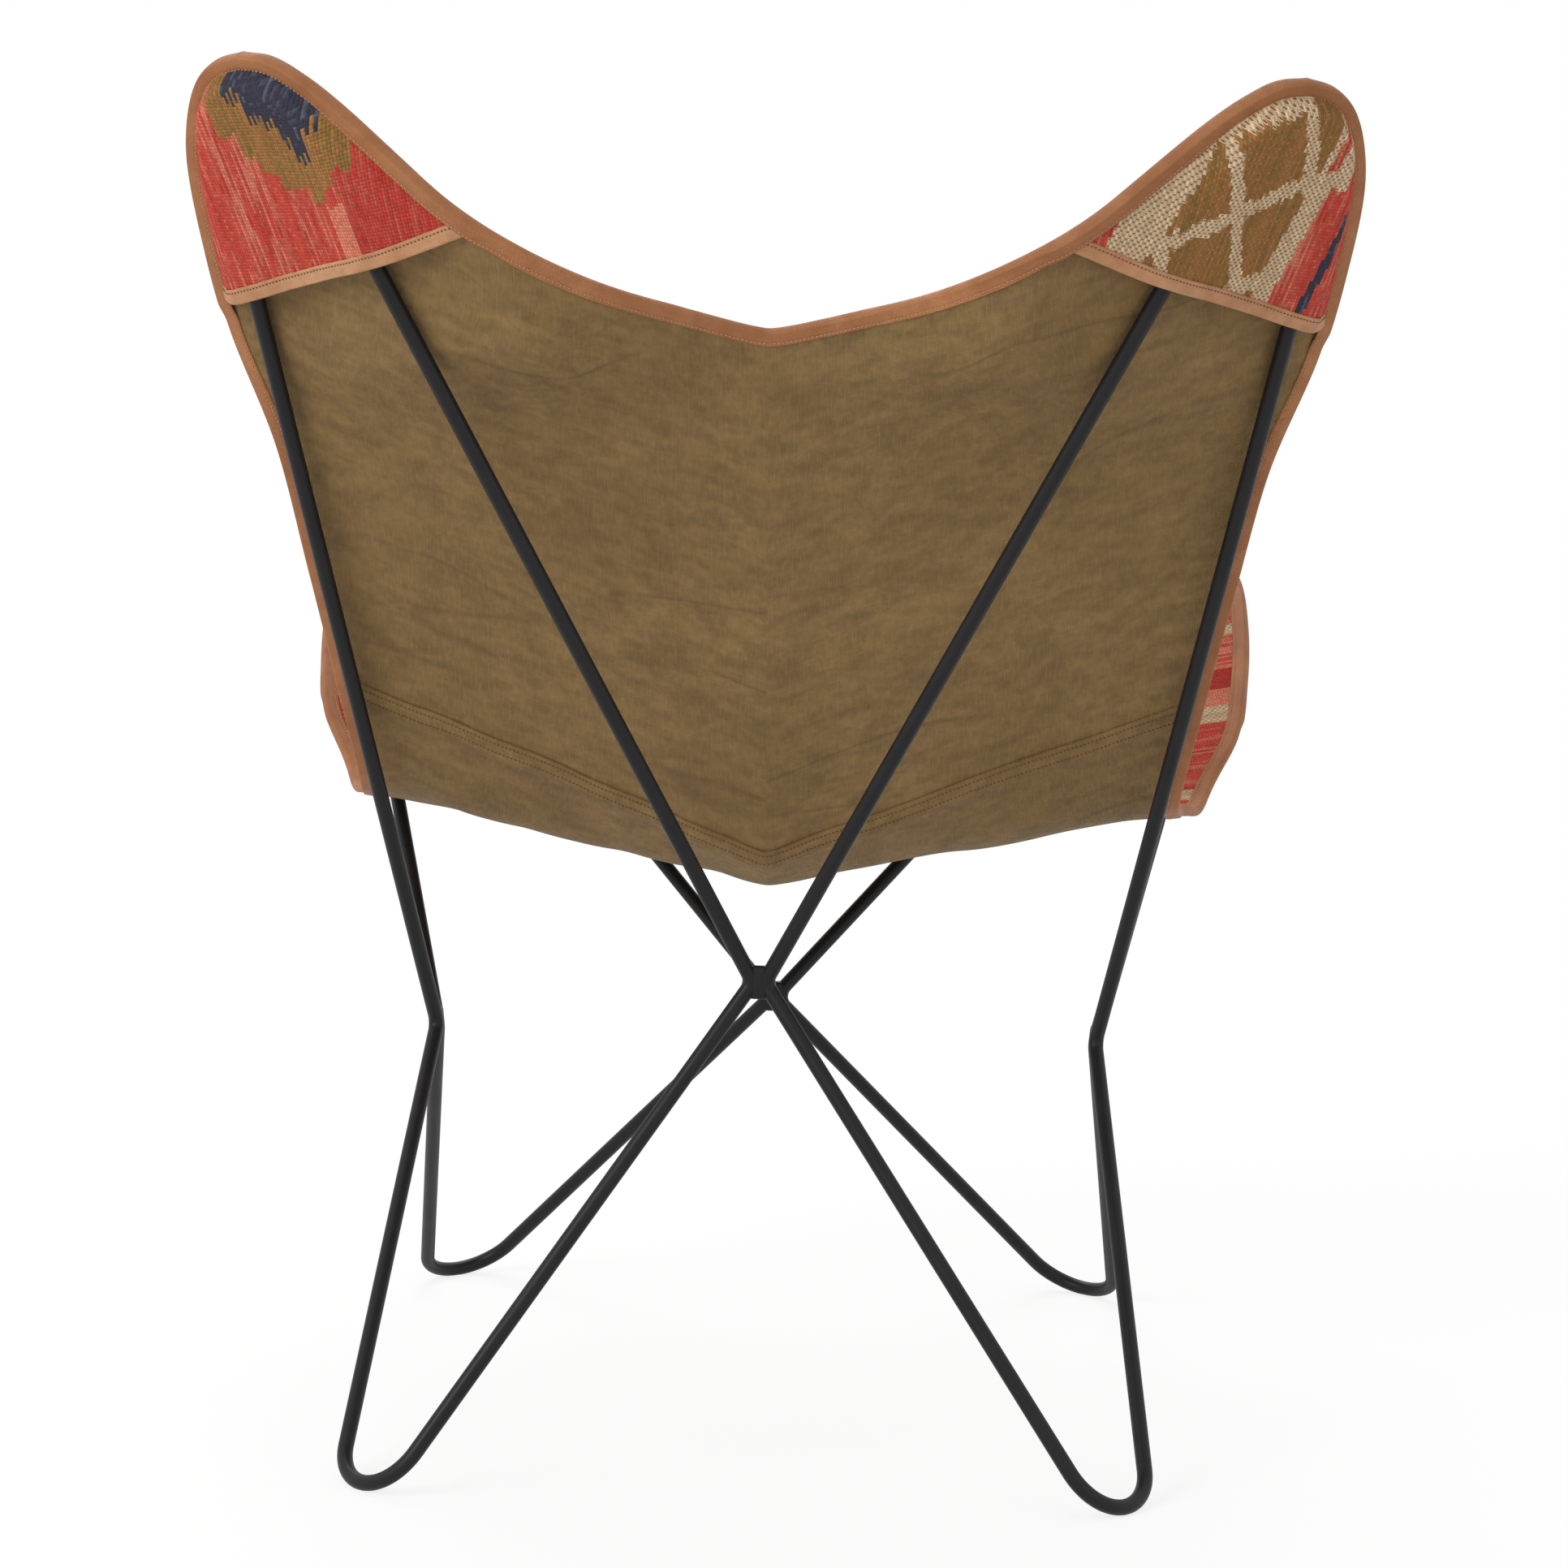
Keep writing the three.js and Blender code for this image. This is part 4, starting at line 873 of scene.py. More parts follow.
bindings = []
runs = [("top_edge", 0, back_mouth[0], True), ("back_corner", *back_mouth, False),
        ("side", back_mouth[1], front_mouth[0], False), ("front_corner", *front_mouth, False),
        ("front_edge", front_mouth[1], rim_count - 1, True)]
for name, first, last, over_middle in runs:
    part = [values[first:last + 1] for values in (rim, rim_up, rim_out, rim_under, rim_bend)]
    if over_middle:
        part = [across_middle(values, name == "front_edge") for values in part]
        strips = [(name, part)]
    else:
        strips = [(f"{name}_left", part), (f"{name}_right", [other_side(values) for values in part])]
    for label, (edge, up, out, under, bend) in strips:
        strip = fold_piece(f"leather_{label}", edge, up, out, SEAT_LEAF, under, BINDING_WIDTH, bend)
        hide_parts(f"binding_{label}")
        bindings.append(strip)
print(len(bindings), "edge bindings")

# %% Mouth bindings
MOUTH_TUCK = 1 * MM
MOUTH_STATIONS = 120
MOUTH_LEAF = KILIM / 2 + 0.1 * MM
mouth_lines = {}
for place, wing in (("back", back_wing), ("front", front_wing)):
    inner, outer, slope = pocket_rows[place]
    edge = (inner[0] + outer[0]) / 2
    gone = distance_along(edge)
    start = BINDING_WIDTH - MOUTH_TUCK
    places = np.linspace(start, gone[-1] - start, MOUTH_STATIONS)
    edge, up = at_places(places, gone, edge), at_places(places, gone, slope[0])
    way = unit(np.gradient(edge, axis=0))
    up = square_to(up, way)
    out = np.cross(way, up)
    out = out * -np.sign(out[MOUTH_STATIONS // 2] @ wing["along"])
    mouth_lines[place] = (edge, up, out)
    for side, half in HALVES:
        run = [x[::-1] for x in (edge, up, out)] if half > 0 else map(mirrored, (edge, up, out))
        strip = fold_piece(f"leather_mouth_{place}_{side}", *run, MOUTH_LEAF, -MOUTH_LEAF, BINDING_WIDTH)
        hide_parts(f"mouth_binding_{place}_{side}")
        bindings.append(strip)
print(len(bindings), "bindings in all")

# %% [markdown]
# Stitches
#
# The bindings and the lapped seam are sewn in a plain running stitch: tan thread round the edge, and
# dark brown at the pockets' mouths and along the seam; at the mouths that dark is painted shade, for
# stitches that lie in shadow. Stitches could be painted in a material, but then the edge would look
# bare from close by. So each one is a short arch of few faces that dips into the leather at both ends,
# and a whole row is one mesh.

# %% Rows of stitches
STITCH_PITCH = 2.7 * MM
STITCH_LENGTH = 1.8 * MM
STITCH_RADIUS = 0.38 * MM


def stitches(name, line, up, rings=5, sides=6):
    """Arches at even places along a line: c + s t + (1 - s^2) h u, with s from -1 to 1."""
    gone = distance_along(line)
    places = np.arange(STITCH_PITCH, gone[-1] - STITCH_PITCH / 2, STITCH_PITCH)
    middle, up = at_places(places, gone, line), at_places(places, gone, up)
    ahead = unit(at_places(places, gone, np.gradient(line, gone, axis=0)))
    up = square_to(up, ahead)
    beside = np.cross(ahead, up)
    s = np.linspace(-1, 1, rings)
    turn = np.linspace(0, 2 * math.pi, sides, endpoint=False)
    swell = STITCH_RADIUS * np.sqrt(1 - 0.75 * s**2)[:, None]
    rise = STITCH_RADIUS * (0.9 - 1.5 * s**2)[:, None] + swell * np.sin(turn)
    over = swell * np.cos(turn)
    points = (middle[:, None, None] + ahead[:, None, None] * (s * STITCH_LENGTH / 2)[:, None, None]
              + up[:, None, None] * rise[..., None] + beside[:, None, None] * over[..., None])
    starts = (np.arange(len(middle)) * rings * sides)[:, None]
    one = grid_faces(rings, sides, close_columns=True)
    faces = (one[None] + starts[..., None]).reshape(-1, 4).tolist()
    ends = np.concatenate([starts + np.arange(sides), starts + rings * sides - 1 - np.arange(sides)])
    row = make_piece(name, points, faces + ends.tolist())
    return row


def closed_rim(values):
    """The whole rim's values, from the middle of the top round both halves and back."""
    return np.concatenate([values, mirrored(values)[-2:0:-1], values[:1]])


print("a stitch is", STITCH_LENGTH * 1000, "mm long at every", STITCH_PITCH * 1000, "mm")

# %% Sewn edge, mouths and seam
EDGE_SINK = 0.7 * LEATHER
MOUTH_SINK = 0.75 * LEATHER
SEAM_ROWS = (0.25, 0.75)
inset = BINDING_WIDTH - STITCH_INSET
sewn_line = rim - rim_out * inset + rim_up * (rim_bend * inset**2)[:, None]
seat_row = sewn_line + rim_up * (SEAT_LEAF + EDGE_SINK)
back_row = sewn_line + rim_up * (rim_under - EDGE_SINK)[:, None]
thread = [stitches("stitches_seat_side", closed_rim(seat_row), closed_rim(rim_up)),
          stitches("stitches_back_side", closed_rim(back_row), -closed_rim(rim_up))]
for place, (edge, up, out) in mouth_lines.items():
    for face, direction in (("outer", -1), ("inner", 1)):
        lift = up * direction
        row = [edge - out * inset + lift * (KILIM / 2 + MOUTH_SINK), lift]
        for side, half in HALVES:
            run = row if half > 0 else [mirrored(x) for x in row]
            thread.append(stitches(f"stitches_mouth_{place}_{face}_{side}", *run))
for number, share in enumerate(SEAM_ROWS):
    points, normals = (grid[0] for grid in both_halves([-share * SEAM_LAP / PANEL_RUN]))
    for place, face, direction in (("back", LAP_FACE, -1), ("seat", KILIM_FACE, 1)):
        row = points + normals * face
        thread.append(stitches(f"stitches_seam_{place}_{number}", row, normals * direction))
print(len(thread), "rows of stitches,", sum(len(row.data.polygons) for row in thread), "faces")

# %% [markdown]
# Materials as sums of nodes
#
# A small class lets a node tree be written like a formula: adding or multiplying two wires makes a
# Math node. Effects that several materials share, such as the weave, are node groups that put out
# heights, masks and colours; the shader and its constant sockets stay in each material.

# %% Wires
class Wire:
    """A socket in a node tree that can be joined to others by arithmetic signs."""

    def __init__(self, tree, socket):
        self.tree, self.socket = tree, socket

    def math(self, operation, *others):
        node = self.tree.nodes.new("ShaderNodeMath")
        node.operation = operation
        for slot, value in zip(node.inputs, (self, *others)):
            feed(slot, value)
        return Wire(self.tree, node.outputs[0])

    def __add__(self, other):
        return self.math("ADD", other)

    def __sub__(self, other):
        return self.math("SUBTRACT", other)

    def __mul__(self, other):
        return self.math("MULTIPLY", other)

    def __gt__(self, other):
        return self.math("GREATER_THAN", other)

    def __lt__(self, other):
        return self.math("LESS_THAN", other)


def feed(slot, value):
    """Links a wire to an input, or sets a constant on it."""
    if isinstance(value, Wire):
        value.tree.links.new(value.socket, slot)
    else:
        slot.default_value = value


print("wires ready")

# %% Nodes as formulas
def node(tree, kind, outputs=0, settings=None, **inputs):
    """A new node with its settings and inputs, as a wire from one of its outputs."""
    new = tree.nodes.new(kind)
    for name, value in (settings or {}).items():
        setattr(new, name, value)
    for name, value in inputs.items():
        feed(new.inputs[name.replace("_", " ")], value)
    return Wire(tree, new.outputs[outputs])


def colour_mix(tree, share, first, second):
    """First colour where share is 0 and second where it is 1."""
    new = tree.nodes.new("ShaderNodeMix")
    new.data_type = "RGBA"
    feed(new.inputs[0], share)
    for slot, value in ((new.inputs[6], first), (new.inputs[7], second)):
        feed(slot, value if isinstance(value, Wire) else (*value, 1.0))
    return Wire(tree, new.outputs[2])


def split(tree, vector):
    """The x, y and z wires of a vector."""
    new = tree.nodes.new("ShaderNodeSeparateXYZ")
    feed(new.inputs[0], vector)
    return [Wire(tree, out) for out in new.outputs]


def join(tree, x, y, z=0.0):
    """A vector wire from three values."""
    new = tree.nodes.new("ShaderNodeCombineXYZ")
    for slot, value in zip(new.inputs, (x, y, z)):
        feed(slot, value)
    return Wire(tree, new.outputs[0])


def noise(tree, vector, scale, detail=2.0, roughness=0.5):
    """A noise value about 0.5 at a scale per metre."""
    return node(tree, "ShaderNodeTexNoise", 0,
                Vector=vector, Scale=scale, Detail=detail, Roughness=roughness)


def white_noise(tree, dimensions, **place):
    """An unrelated value from 0 to 1 for every place."""
    return node(tree, "ShaderNodeTexWhiteNoise", 0, {"noise_dimensions": dimensions}, **place)


def clamp(tree, value):
    """A value held between 0 and 1."""
    return node(tree, "ShaderNodeClamp", 0, Value=value)


def spread(tree, value, low, high):
    """A value carried from low..high to 0..1 and held there."""
    return node(tree, "ShaderNodeMapRange", 0, Value=value, From_Min=low, From_Max=high)


def stair(tree, value, low, high, places, levels):
    """A stair: the level of the last place that value has passed."""
    ramp = tree.nodes.new("ShaderNodeValToRGB")
    ramp.color_ramp.interpolation = "CONSTANT"
    stops = ramp.color_ramp.elements
    while len(stops) < len(places):
        stops.new(0.5)
    span = max(levels) - min(levels)
    for stop, place, level in zip(stops, places, levels):
        stop.position = (place - low) / (high - low)
        stop.color = (*([(level - min(levels)) / span] * 3), 1)
    feed(ramp.inputs[0], (value - low) * (1 / (high - low)))
    return Wire(tree, ramp.outputs[0]) * span + min(levels)


print("node helpers ready")

# %% Node groups
def new_group(name, inputs, outputs):
    """A shader node group with named sockets: its tree, its input wires and its output node."""
    tree = bpy.data.node_groups.new(name, "ShaderNodeTree")
    for label, kind in inputs.items():
        tree.interface.new_socket(label, in_out="INPUT", socket_type=kind)
    for label, kind in outputs.items():
        tree.interface.new_socket(label, in_out="OUTPUT", socket_type=kind)
    start = tree.nodes.new("NodeGroupInput")
    end = tree.nodes.new("NodeGroupOutput")
    return tree, {label: Wire(tree, start.outputs[label]) for label in inputs}, end


def use_group(tree, group, **inputs):
    """A group in a tree: its outputs as wires by name."""
    new = tree.nodes.new("ShaderNodeGroup")
    new.node_tree = group
    for label, value in inputs.items():
        feed(new.inputs[label], value)
    return {out.name: Wire(tree, out) for out in new.outputs}


print("group helpers ready")

# %% [markdown]
# The weave
#
# In a plain weave every yarn passes over one and under the next. Cells are numbered along both yarn
# directions, and the sum of the numbers, odd or even, says which yarn is on top. Each yarn's height is
# a half sine across it, drawn down where it dives under its neighbour. A tiled picture of cloth would
# show its repeats, and this has none.

# %% Weave group
VALUE, VECTOR, COLOUR = "NodeSocketFloat", "NodeSocketVector", "NodeSocketColor"
weave, given, end = new_group(
    "plain_weave", {"Place": VECTOR, "Along": VALUE, "Across": VALUE},
    {"Height": VALUE, "Warp": VALUE, "Yarn": VALUE, "Cell": VALUE})
x, y, _ = split(weave, given["Place"])
x, y = x.math("DIVIDE", given["Along"]), y.math("DIVIDE", given["Across"])
column, row = x.math("FLOOR"), y.math("FLOOR")
odd = (column + row).math("FLOORED_MODULO", 2.0)
arch_x = (x.math("FRACT") * math.pi).math("SINE")
arch_y = (y.math("FRACT") * math.pi).math("SINE")
weft_top = arch_y * (arch_x * 0.4 + 0.6)
warp_top = arch_x * (arch_y * 0.4 + 0.6)
feed(end.inputs["Height"], weft_top + (warp_top - weft_top) * odd)
feed(end.inputs["Warp"], odd)
feed(end.inputs["Yarn"], row)
feed(end.inputs["Cell"], column)
print("weave group has", len(weave.nodes), "nodes")

# %% [markdown]
# Kilim figures
#
# The figures of a flat weave have stepped edges, because a colour can only change from one warp to
# the next. So the patterns are worked out on yarn numbers and not on smooth places. Three cloths are
# drawn: a red field with a stepped patch, a cream lattice with brown leaves, and a red ground with
# bands. Each weft has its own shade and pale slubs, as hand-dyed wool has.

# %% Kilim colours
WEFT, WARP_STEP = 1.9 * MM, 2.1 * MM
RED, DEEP_RED, PINK = (0.60, 0.070, 0.046), (0.46, 0.032, 0.026), (0.74, 0.26, 0.165)
CREAM, TAN = (0.72, 0.54, 0.34), (0.54, 0.36, 0.20)
OCHRE, OLIVE = (0.35, 0.165, 0.052), (0.24, 0.145, 0.036)
NAVY, SLATE, RUST = (0.026, 0.036, 0.064), (0.11, 0.145, 0.20), (0.46, 0.16, 0.055)
# Colour of the dark warp where it shows, and of the painted shade between yarns.
WARP_AND_GAP_SHADE = (0.11, 0.045, 0.020)
SHADOW = (0.03, 0.014, 0.010)


def kilim_group(name, figure):
    """Figure's colour on yarn steps, painted shade between yarns, weave's height sunk where open."""
    tree, given, end = new_group(name, {"Place": VECTOR}, {"Colour": COLOUR, "Height": VALUE})
    cloth_cells = use_group(tree, weave, Place=given["Place"], Along=WARP_STEP, Across=WEFT)
    yarn, cell = cloth_cells["Yarn"], cloth_cells["Cell"]
    shade = white_noise(tree, "1D", W=yarn)
    ragged = white_noise(tree, "2D", Vector=join(tree, yarn * 0.5, 3.7))
    along = (cell + 0.5) * (WARP_STEP / MM) + (ragged - 0.5) * 5.0
    across = (yarn + 0.5) * (WEFT / MM)
    slub = noise(tree, join(tree, cell * 0.055, yarn * 3.1), 1.0, 3.0)
    speck = white_noise(tree, "2D", Vector=join(tree, cell, yarn))
    colour, open_weave = figure(tree, along, across, shade, slub, speck)
    dim = (speck * 7.0).math("FRACT") * 0.26 + shade * 0.08
    colour = colour_mix(tree, dim, colour, SHADOW)
    # Painted shade: the dips between yarns are darkened towards the dark warp colour.
    gap_shade = (cloth_cells["Height"] < 0.28) * 0.5
    warp_dot = cloth_cells["Warp"] * open_weave * (cloth_cells["Height"] > 0.66)
    colour = colour_mix(tree, gap_shade, colour, WARP_AND_GAP_SHADE)
    feed(end.inputs["Colour"], colour_mix(tree, warp_dot * 0.85, colour, WARP_AND_GAP_SHADE))
    fibre = noise(tree, given["Place"], 2600.0, 2.0)
    sunk = cloth_cells["Warp"] * open_weave * -0.5 + 1.0
    feed(end.inputs["Height"], cloth_cells["Height"] * sunk + fibre * 0.35)
    print(name, "has", len(tree.nodes), "nodes")
    return tree


print("kilim is woven with", round(WEFT * 1000, 1), "mm wefts")

# %% Dyed wools
def red_ground(tree, shade, slub, speck):
    """Red wefts with pale slubs that come and go along the yarn, and a few pale crossings."""
    red = colour_mix(tree, shade, RED, DEEP_RED)
    pale = clamp(tree, (slub + shade * 0.30 - 0.64) * 6.0) * 0.66
    return colour_mix(tree, pale + (speck > 0.94) * 0.35 * (pale < 0.4), red, PINK)


def brown_wool(tree, shade, speck):
    """Brown between ochre and olive from yarn to yarn, with some rusty crossings."""
    return colour_mix(tree, (speck > 0.8) * 0.5, colour_mix(tree, shade, OCHRE, OLIVE), RUST)


def cream_wool(tree, shade):
    """Undyed wool, some yarns a little darker."""
    return colour_mix(tree, shade * 0.4, CREAM, TAN)


def navy_wool(tree, slub, speck):
    """Dark blue with slate slubs."""
    return colour_mix(tree, (slub > 0.58) * 0.55 + (speck > 0.88) * 0.3, NAVY, SLATE)


print("red, brown, cream and navy wools ready")

# %% Patch, lattice and bands
def band(place, middle, half_width):
    """1 within half a width of the middle, and 0 elsewhere."""
    return (place - middle).math("ABSOLUTE") < half_width


def patch_figure(tree, along, across, shade, slub, speck):
    """A red field with a stepped brown patch and a navy figure in it, towards the tip."""
    ground = red_ground(tree, shade, slub, speck)
    ground = colour_mix(tree, (across < -50.0) * 0.6, ground, DEEP_RED)
    pink_stripe = band(across, -45.0, 6.5) * (along < -36.0)
    ground = colour_mix(tree, pink_stripe * (speck * 0.4 + 0.5), ground, PINK)
    patch_edge = stair(tree, across, -100, 50, [-100, -78, -62, -50, -40, -31, -10, 2, 11, 25],
                       [60, 30, -14, -24, -33, -24, -14, -4, 12, 60])
    figure_edge = stair(tree, across, -100, 50, [-100, -62, -50, -40, -30, -24, -16, -4, 10],
                        [90, 34, 18, 0, 8, 22, 26, 40, 90])
    teeth = across.math("FLOORED_MODULO", 2 * WEFT / MM) > WEFT / MM
    patch = along > patch_edge
    figure = (along + teeth * 7.0) > figure_edge
    colour = colour_mix(tree, patch, ground, brown_wool(tree, shade, speck))
    return colour_mix(tree, figure, colour, navy_wool(tree, slub, speck)), 0.12


def lattice_figure(tree, along, across, shade, slub, speck):
    """Cream lines that cross on a brown ground, between red stripes and one navy bar."""
    ground = red_ground(tree, shade, slub, speck)
    lean = across - along * 0.135
    inner = across - along * 0.345
    cream_field = (lean < 33.0) * (inner > -82.0)
    stripe = (lean > 24.0) * (lean < 31.0) * (along > 6.0)
    top_band = (lean < 44.0) * (lean > 24.0) * (along > -4.0)
    first = (across - along * 1.75 - 18.0).math("PINGPONG", 55.0) < 10.0
    second = (across + along * 0.45 + 38.0).math("PINGPONG", 27.5) < 4.6
    leaf = (inner > -55.0) * (lean < 19.0)
    leaf = leaf * (first < 0.5) * (second < 0.5)
    brown = brown_wool(tree, shade, speck)
    cream = cream_wool(tree, shade)
    field = colour_mix(tree, leaf, cream, brown)
    light = clamp(tree, cream_field + top_band)
    colour = colour_mix(tree, light, ground, field)
    colour = colour_mix(tree, stripe, colour, ground)
    bar = (lean > 55.0) * (lean < 61.5) * (along < -22.0)
    navy = navy_wool(tree, slub, speck)
    return colour_mix(tree, bar, colour, navy), light * (leaf * -0.55 + 1.0)


def band_figure(tree, along, across, shade, slub, speck):
    """A red ground with cream and pink bands, and a row of stepped diamonds in the middle."""
    ground = red_ground(tree, shade, slub, speck)
    place = (across + 20.0).math("FLOORED_MODULO", 170.0)
    cream_band = clamp(tree, band(place, 46.0, 8.5) + band(place, 134.0, 6.0))
    pink_band = band(place, 63.0, 8.0)
    deep_band = band(place, 82.0, 11.0)
    mixed_band = band(place, 112.0, 18.0) * (shade > 0.5)
    step_across = ((place - 85.0).math("ABSOLUTE") * -1.0 + 85.0).math("SNAP", 6.0)
    step_along = along.math("PINGPONG", 48.0).math("SNAP", 7.0)
    diamond = step_along + step_across * 1.6 + (along.math("ABSOLUTE") > 145.0) * 100.0
    cream = cream_wool(tree, shade)
    brown = brown_wool(tree, shade, speck)
    navy = navy_wool(tree, slub, speck)
    colour = colour_mix(tree, deep_band, ground, DEEP_RED)
    colour = colour_mix(tree, pink_band * 0.7, colour, PINK)
    colour = colour_mix(tree, mixed_band * 0.6, colour, PINK)
    for reach, paint in ((46.0, cream), (36.0, brown), (22.0, navy), (9.0, cream)):
        colour = colour_mix(tree, diamond < reach, colour, paint)
    return colour_mix(tree, cream_band, colour, cream), cream_band * 0.6 + 0.1


patch_cloth = kilim_group("kilim_patch", patch_figure)
lattice_cloth = kilim_group("kilim_lattice", lattice_figure)
band_cloth = kilim_group("kilim_bands", band_figure)

# %% [markdown]
# Wool, canvas, leather, thread and steel
#
# Each finish is one Principled shader. What is the same all over, such as the specular level, is set
# on its socket, and what changes over the surface is worked out by nodes from the cloth's own flat
# coordinates or from places in the chair's frame. Photographs of cloth could be wrapped round the
# pieces, but worked-out patterns stay sharp at any distance and keep the real yarn's size.

# %% Kilim materials
def new_material(name, roughness, **constants):
    """A material with a Principled shader: its tree and the shader node."""
    material = bpy.data.materials.new(name)
    material.use_nodes = True
    shader = material.node_tree.nodes["Principled BSDF"]
    shader.inputs["Roughness"].default_value = roughness
    for label, value in constants.items():
        shader.inputs[label.replace("_", " ")].default_value = value
    return material, material.node_tree, shader


def bump(tree, shader, height, depth, strength=1.0):
    """Feeds the shader's normal from a height over a depth in metres."""
    normal = node(tree, "ShaderNodeBump", 0, Height=height, Distance=depth, Strength=strength)
    feed(shader.inputs["Normal"], normal)


def own_uv(tree):
    """The cloth's own flat coordinates, in metres."""
    return node(tree, "ShaderNodeUVMap", 0, {"uv_map": "cloth"})


def object_place(tree):
    """Places in the chair's frame, in metres."""
    return node(tree, "ShaderNodeTexCoord", 3)


def kilim_material(name, group):
    """A woven wool material from one of the figure groups."""
    material, tree, shader = new_material(name, 0.92, Specular_IOR_Level=0.15)
    made = use_group(tree, group, Place=own_uv(tree))
    feed(shader.inputs["Base Color"], made["Colour"])
    bump(tree, shader, made["Height"], 0.7 * MM)
    return material


kilim_bands = kilim_material("kilim_banded", band_cloth)
kilim_patch = kilim_material("kilim_patch", patch_cloth)
kilim_lattice = kilim_material("kilim_lattice", lattice_cloth)
print("three kilim materials")

# %% [markdown]
# Waxed canvas
#
# The backing is plain-woven cotton, waxed and dyed khaki. It is dragged tight from the hoops down to
# the keel, so its wrinkles, shadows and few sharp creases run along that drag. They could be sculpted,
# but they are shallower than the mesh is fine, so they are noise stretched along the drag: a bump for
# their relief, and painted shade, a darker colour, for their shadows. The yarns are drawn by the weave
# group, with painted shade in the dips between them.

# %% Canvas material
CANVAS_YARN = 1.1 * MM
DRAG_SLOPE = 0.33
KHAKI, PALE_KHAKI = (0.180, 0.107, 0.035), (0.243, 0.148, 0.053)
# A darker colour used for the wax's blotches and for the painted shade of the wrinkles.
WAX_TONE_AND_WRINKLE_SHADE, PALE_YARN = (0.108, 0.064, 0.022), (0.27, 0.175, 0.085)
canvas_cloth, tree, shader = new_material("waxed_canvas", 0.7, Specular_IOR_Level=0.25)
place, uv = object_place(tree), own_uv(tree)
threads = use_group(tree, weave, Place=uv, Along=CANVAS_YARN, Across=CANVAS_YARN)
x, y, z = split(tree, place)
aside = x.math("ABSOLUTE")
down_drag = z - aside * DRAG_SLOPE
side_shift = (x > 0.0) * 5.0 + y * 9.0
cloud = noise(tree, place, 9.0, 4.0, 0.6)
mottle = noise(tree, place, 170.0, 3.0, 0.6)
drag = noise(tree, join(tree, aside * 48.0, down_drag * 115.0, side_shift), 1.0, 3.0, 0.55)
yarns = noise(tree, join(tree, threads["Cell"] * 0.9, threads["Yarn"] * 0.09), 1.0, 2.0)
contour = noise(tree, join(tree, aside * 3.2, down_drag * 11.0, side_shift), 1.0, 1.0)
crease = spread(tree, (contour - 0.5).math("ABSOLUTE"), 0.014, 0.0)
crease = crease * spread(tree, noise(tree, place, 11.0, 1.0), 0.46, 0.58)
base = colour_mix(tree, spread(tree, cloud, 0.3, 0.7), KHAKI, PALE_KHAKI)
# Mottle: the wax's own blotches together with the shade of small dents, painted darker.
base = colour_mix(tree, spread(tree, mottle, 0.38, 0.66) * 0.34, base, WAX_TONE_AND_WRINKLE_SHADE)
# Painted shade: darker along the drag wrinkles, where their shadows fall.
base = colour_mix(tree, spread(tree, drag, 0.40, 0.66) * 0.58, base, WAX_TONE_AND_WRINKLE_SHADE)
base = colour_mix(tree, spread(tree, yarns, 0.45, 0.8) * 0.42, base, PALE_YARN)
# Painted shade: darker in the dips between the canvas yarns.
base = colour_mix(tree, spread(tree, threads["Height"], 0.6, 0.1) * 0.35, base, (0.085, 0.050, 0.018))
# Painted shade: darker along the sharp creases.
base = colour_mix(tree, crease * 0.4, base, (0.085, 0.050, 0.020))
feed(shader.inputs["Base Color"], base)
feed(shader.inputs["Roughness"], mottle * 0.25 + 0.58)
rumple = noise(tree, place, 30.0, 4.0, 0.55)
folds = rumple * 0.7 + drag * 0.45 + mottle * 0.10 - crease * 0.16
bump(tree, shader, folds + threads["Height"] * 0.06 + yarns * 0.05, 4.0 * MM, 0.6)
print("canvas has", len(tree.nodes), "nodes")

# %% [markdown]
# Leather, thread and coated steel
#
# The bindings are tan hide with a cloudy tone and fine pores, paler at the pockets' mouths. The thread
# is twisted and waxed. The steel has a black powder coat with the faint ripple such coats have. None
# of them needs a picture: tone is broad noise, pores are a net of cells, and the twist is a wave.

# %% Leather material
def leather_material(name, dark, light):
    """Vegetable-tanned hide: cloudy tone, a darker patina and a net of fine pores."""
    material, tree, shader = new_material(name, 0.55, Specular_IOR_Level=0.24)
    place = object_place(tree)
    tone = noise(tree, place, 14.0, 4.0, 0.6)
    patina = noise(tree, place, 90.0, 3.0, 0.6)
    pores = node(tree, "ShaderNodeTexVoronoi", 0, {"feature": "DISTANCE_TO_EDGE"},
                 Vector=place, Scale=900.0)
    base = colour_mix(tree, spread(tree, tone, 0.3, 0.7), dark, light)
    base = colour_mix(tree, spread(tree, patina, 0.4, 0.8) * 0.45, base, (0.21, 0.078, 0.030))
    base = colour_mix(tree, spread(tree, pores, 0.12, 0.0) * 0.25, base, (0.16, 0.060, 0.025))
    feed(shader.inputs["Base Color"], base)
    feed(shader.inputs["Roughness"], patina * 0.3 + 0.42)
    bump(tree, shader, spread(tree, pores, 0.0, 0.25) + patina * 0.8, 0.25 * MM, 0.8)
    return material


hide = leather_material("binding_leather", (0.270, 0.103, 0.037), (0.395, 0.167, 0.066))
pale_hide = leather_material("mouth_leather", (0.39, 0.182, 0.084), (0.54, 0.285, 0.150))
print("hide for the edge and a paler one for the mouths")

# %% Thread and steel materials
def thread_material(name, dark, light):
    """Twisted and waxed thread."""
    material, tree, shader = new_material(name, 0.6, Specular_IOR_Level=0.3)
    twist = node(tree, "ShaderNodeTexWave", 1, Vector=object_place(tree), Scale=420.0, Distortion=4.0)
    feed(shader.inputs["Base Color"], colour_mix(tree, twist, dark, light))
    bump(tree, shader, twist, 0.12 * MM)
    return material


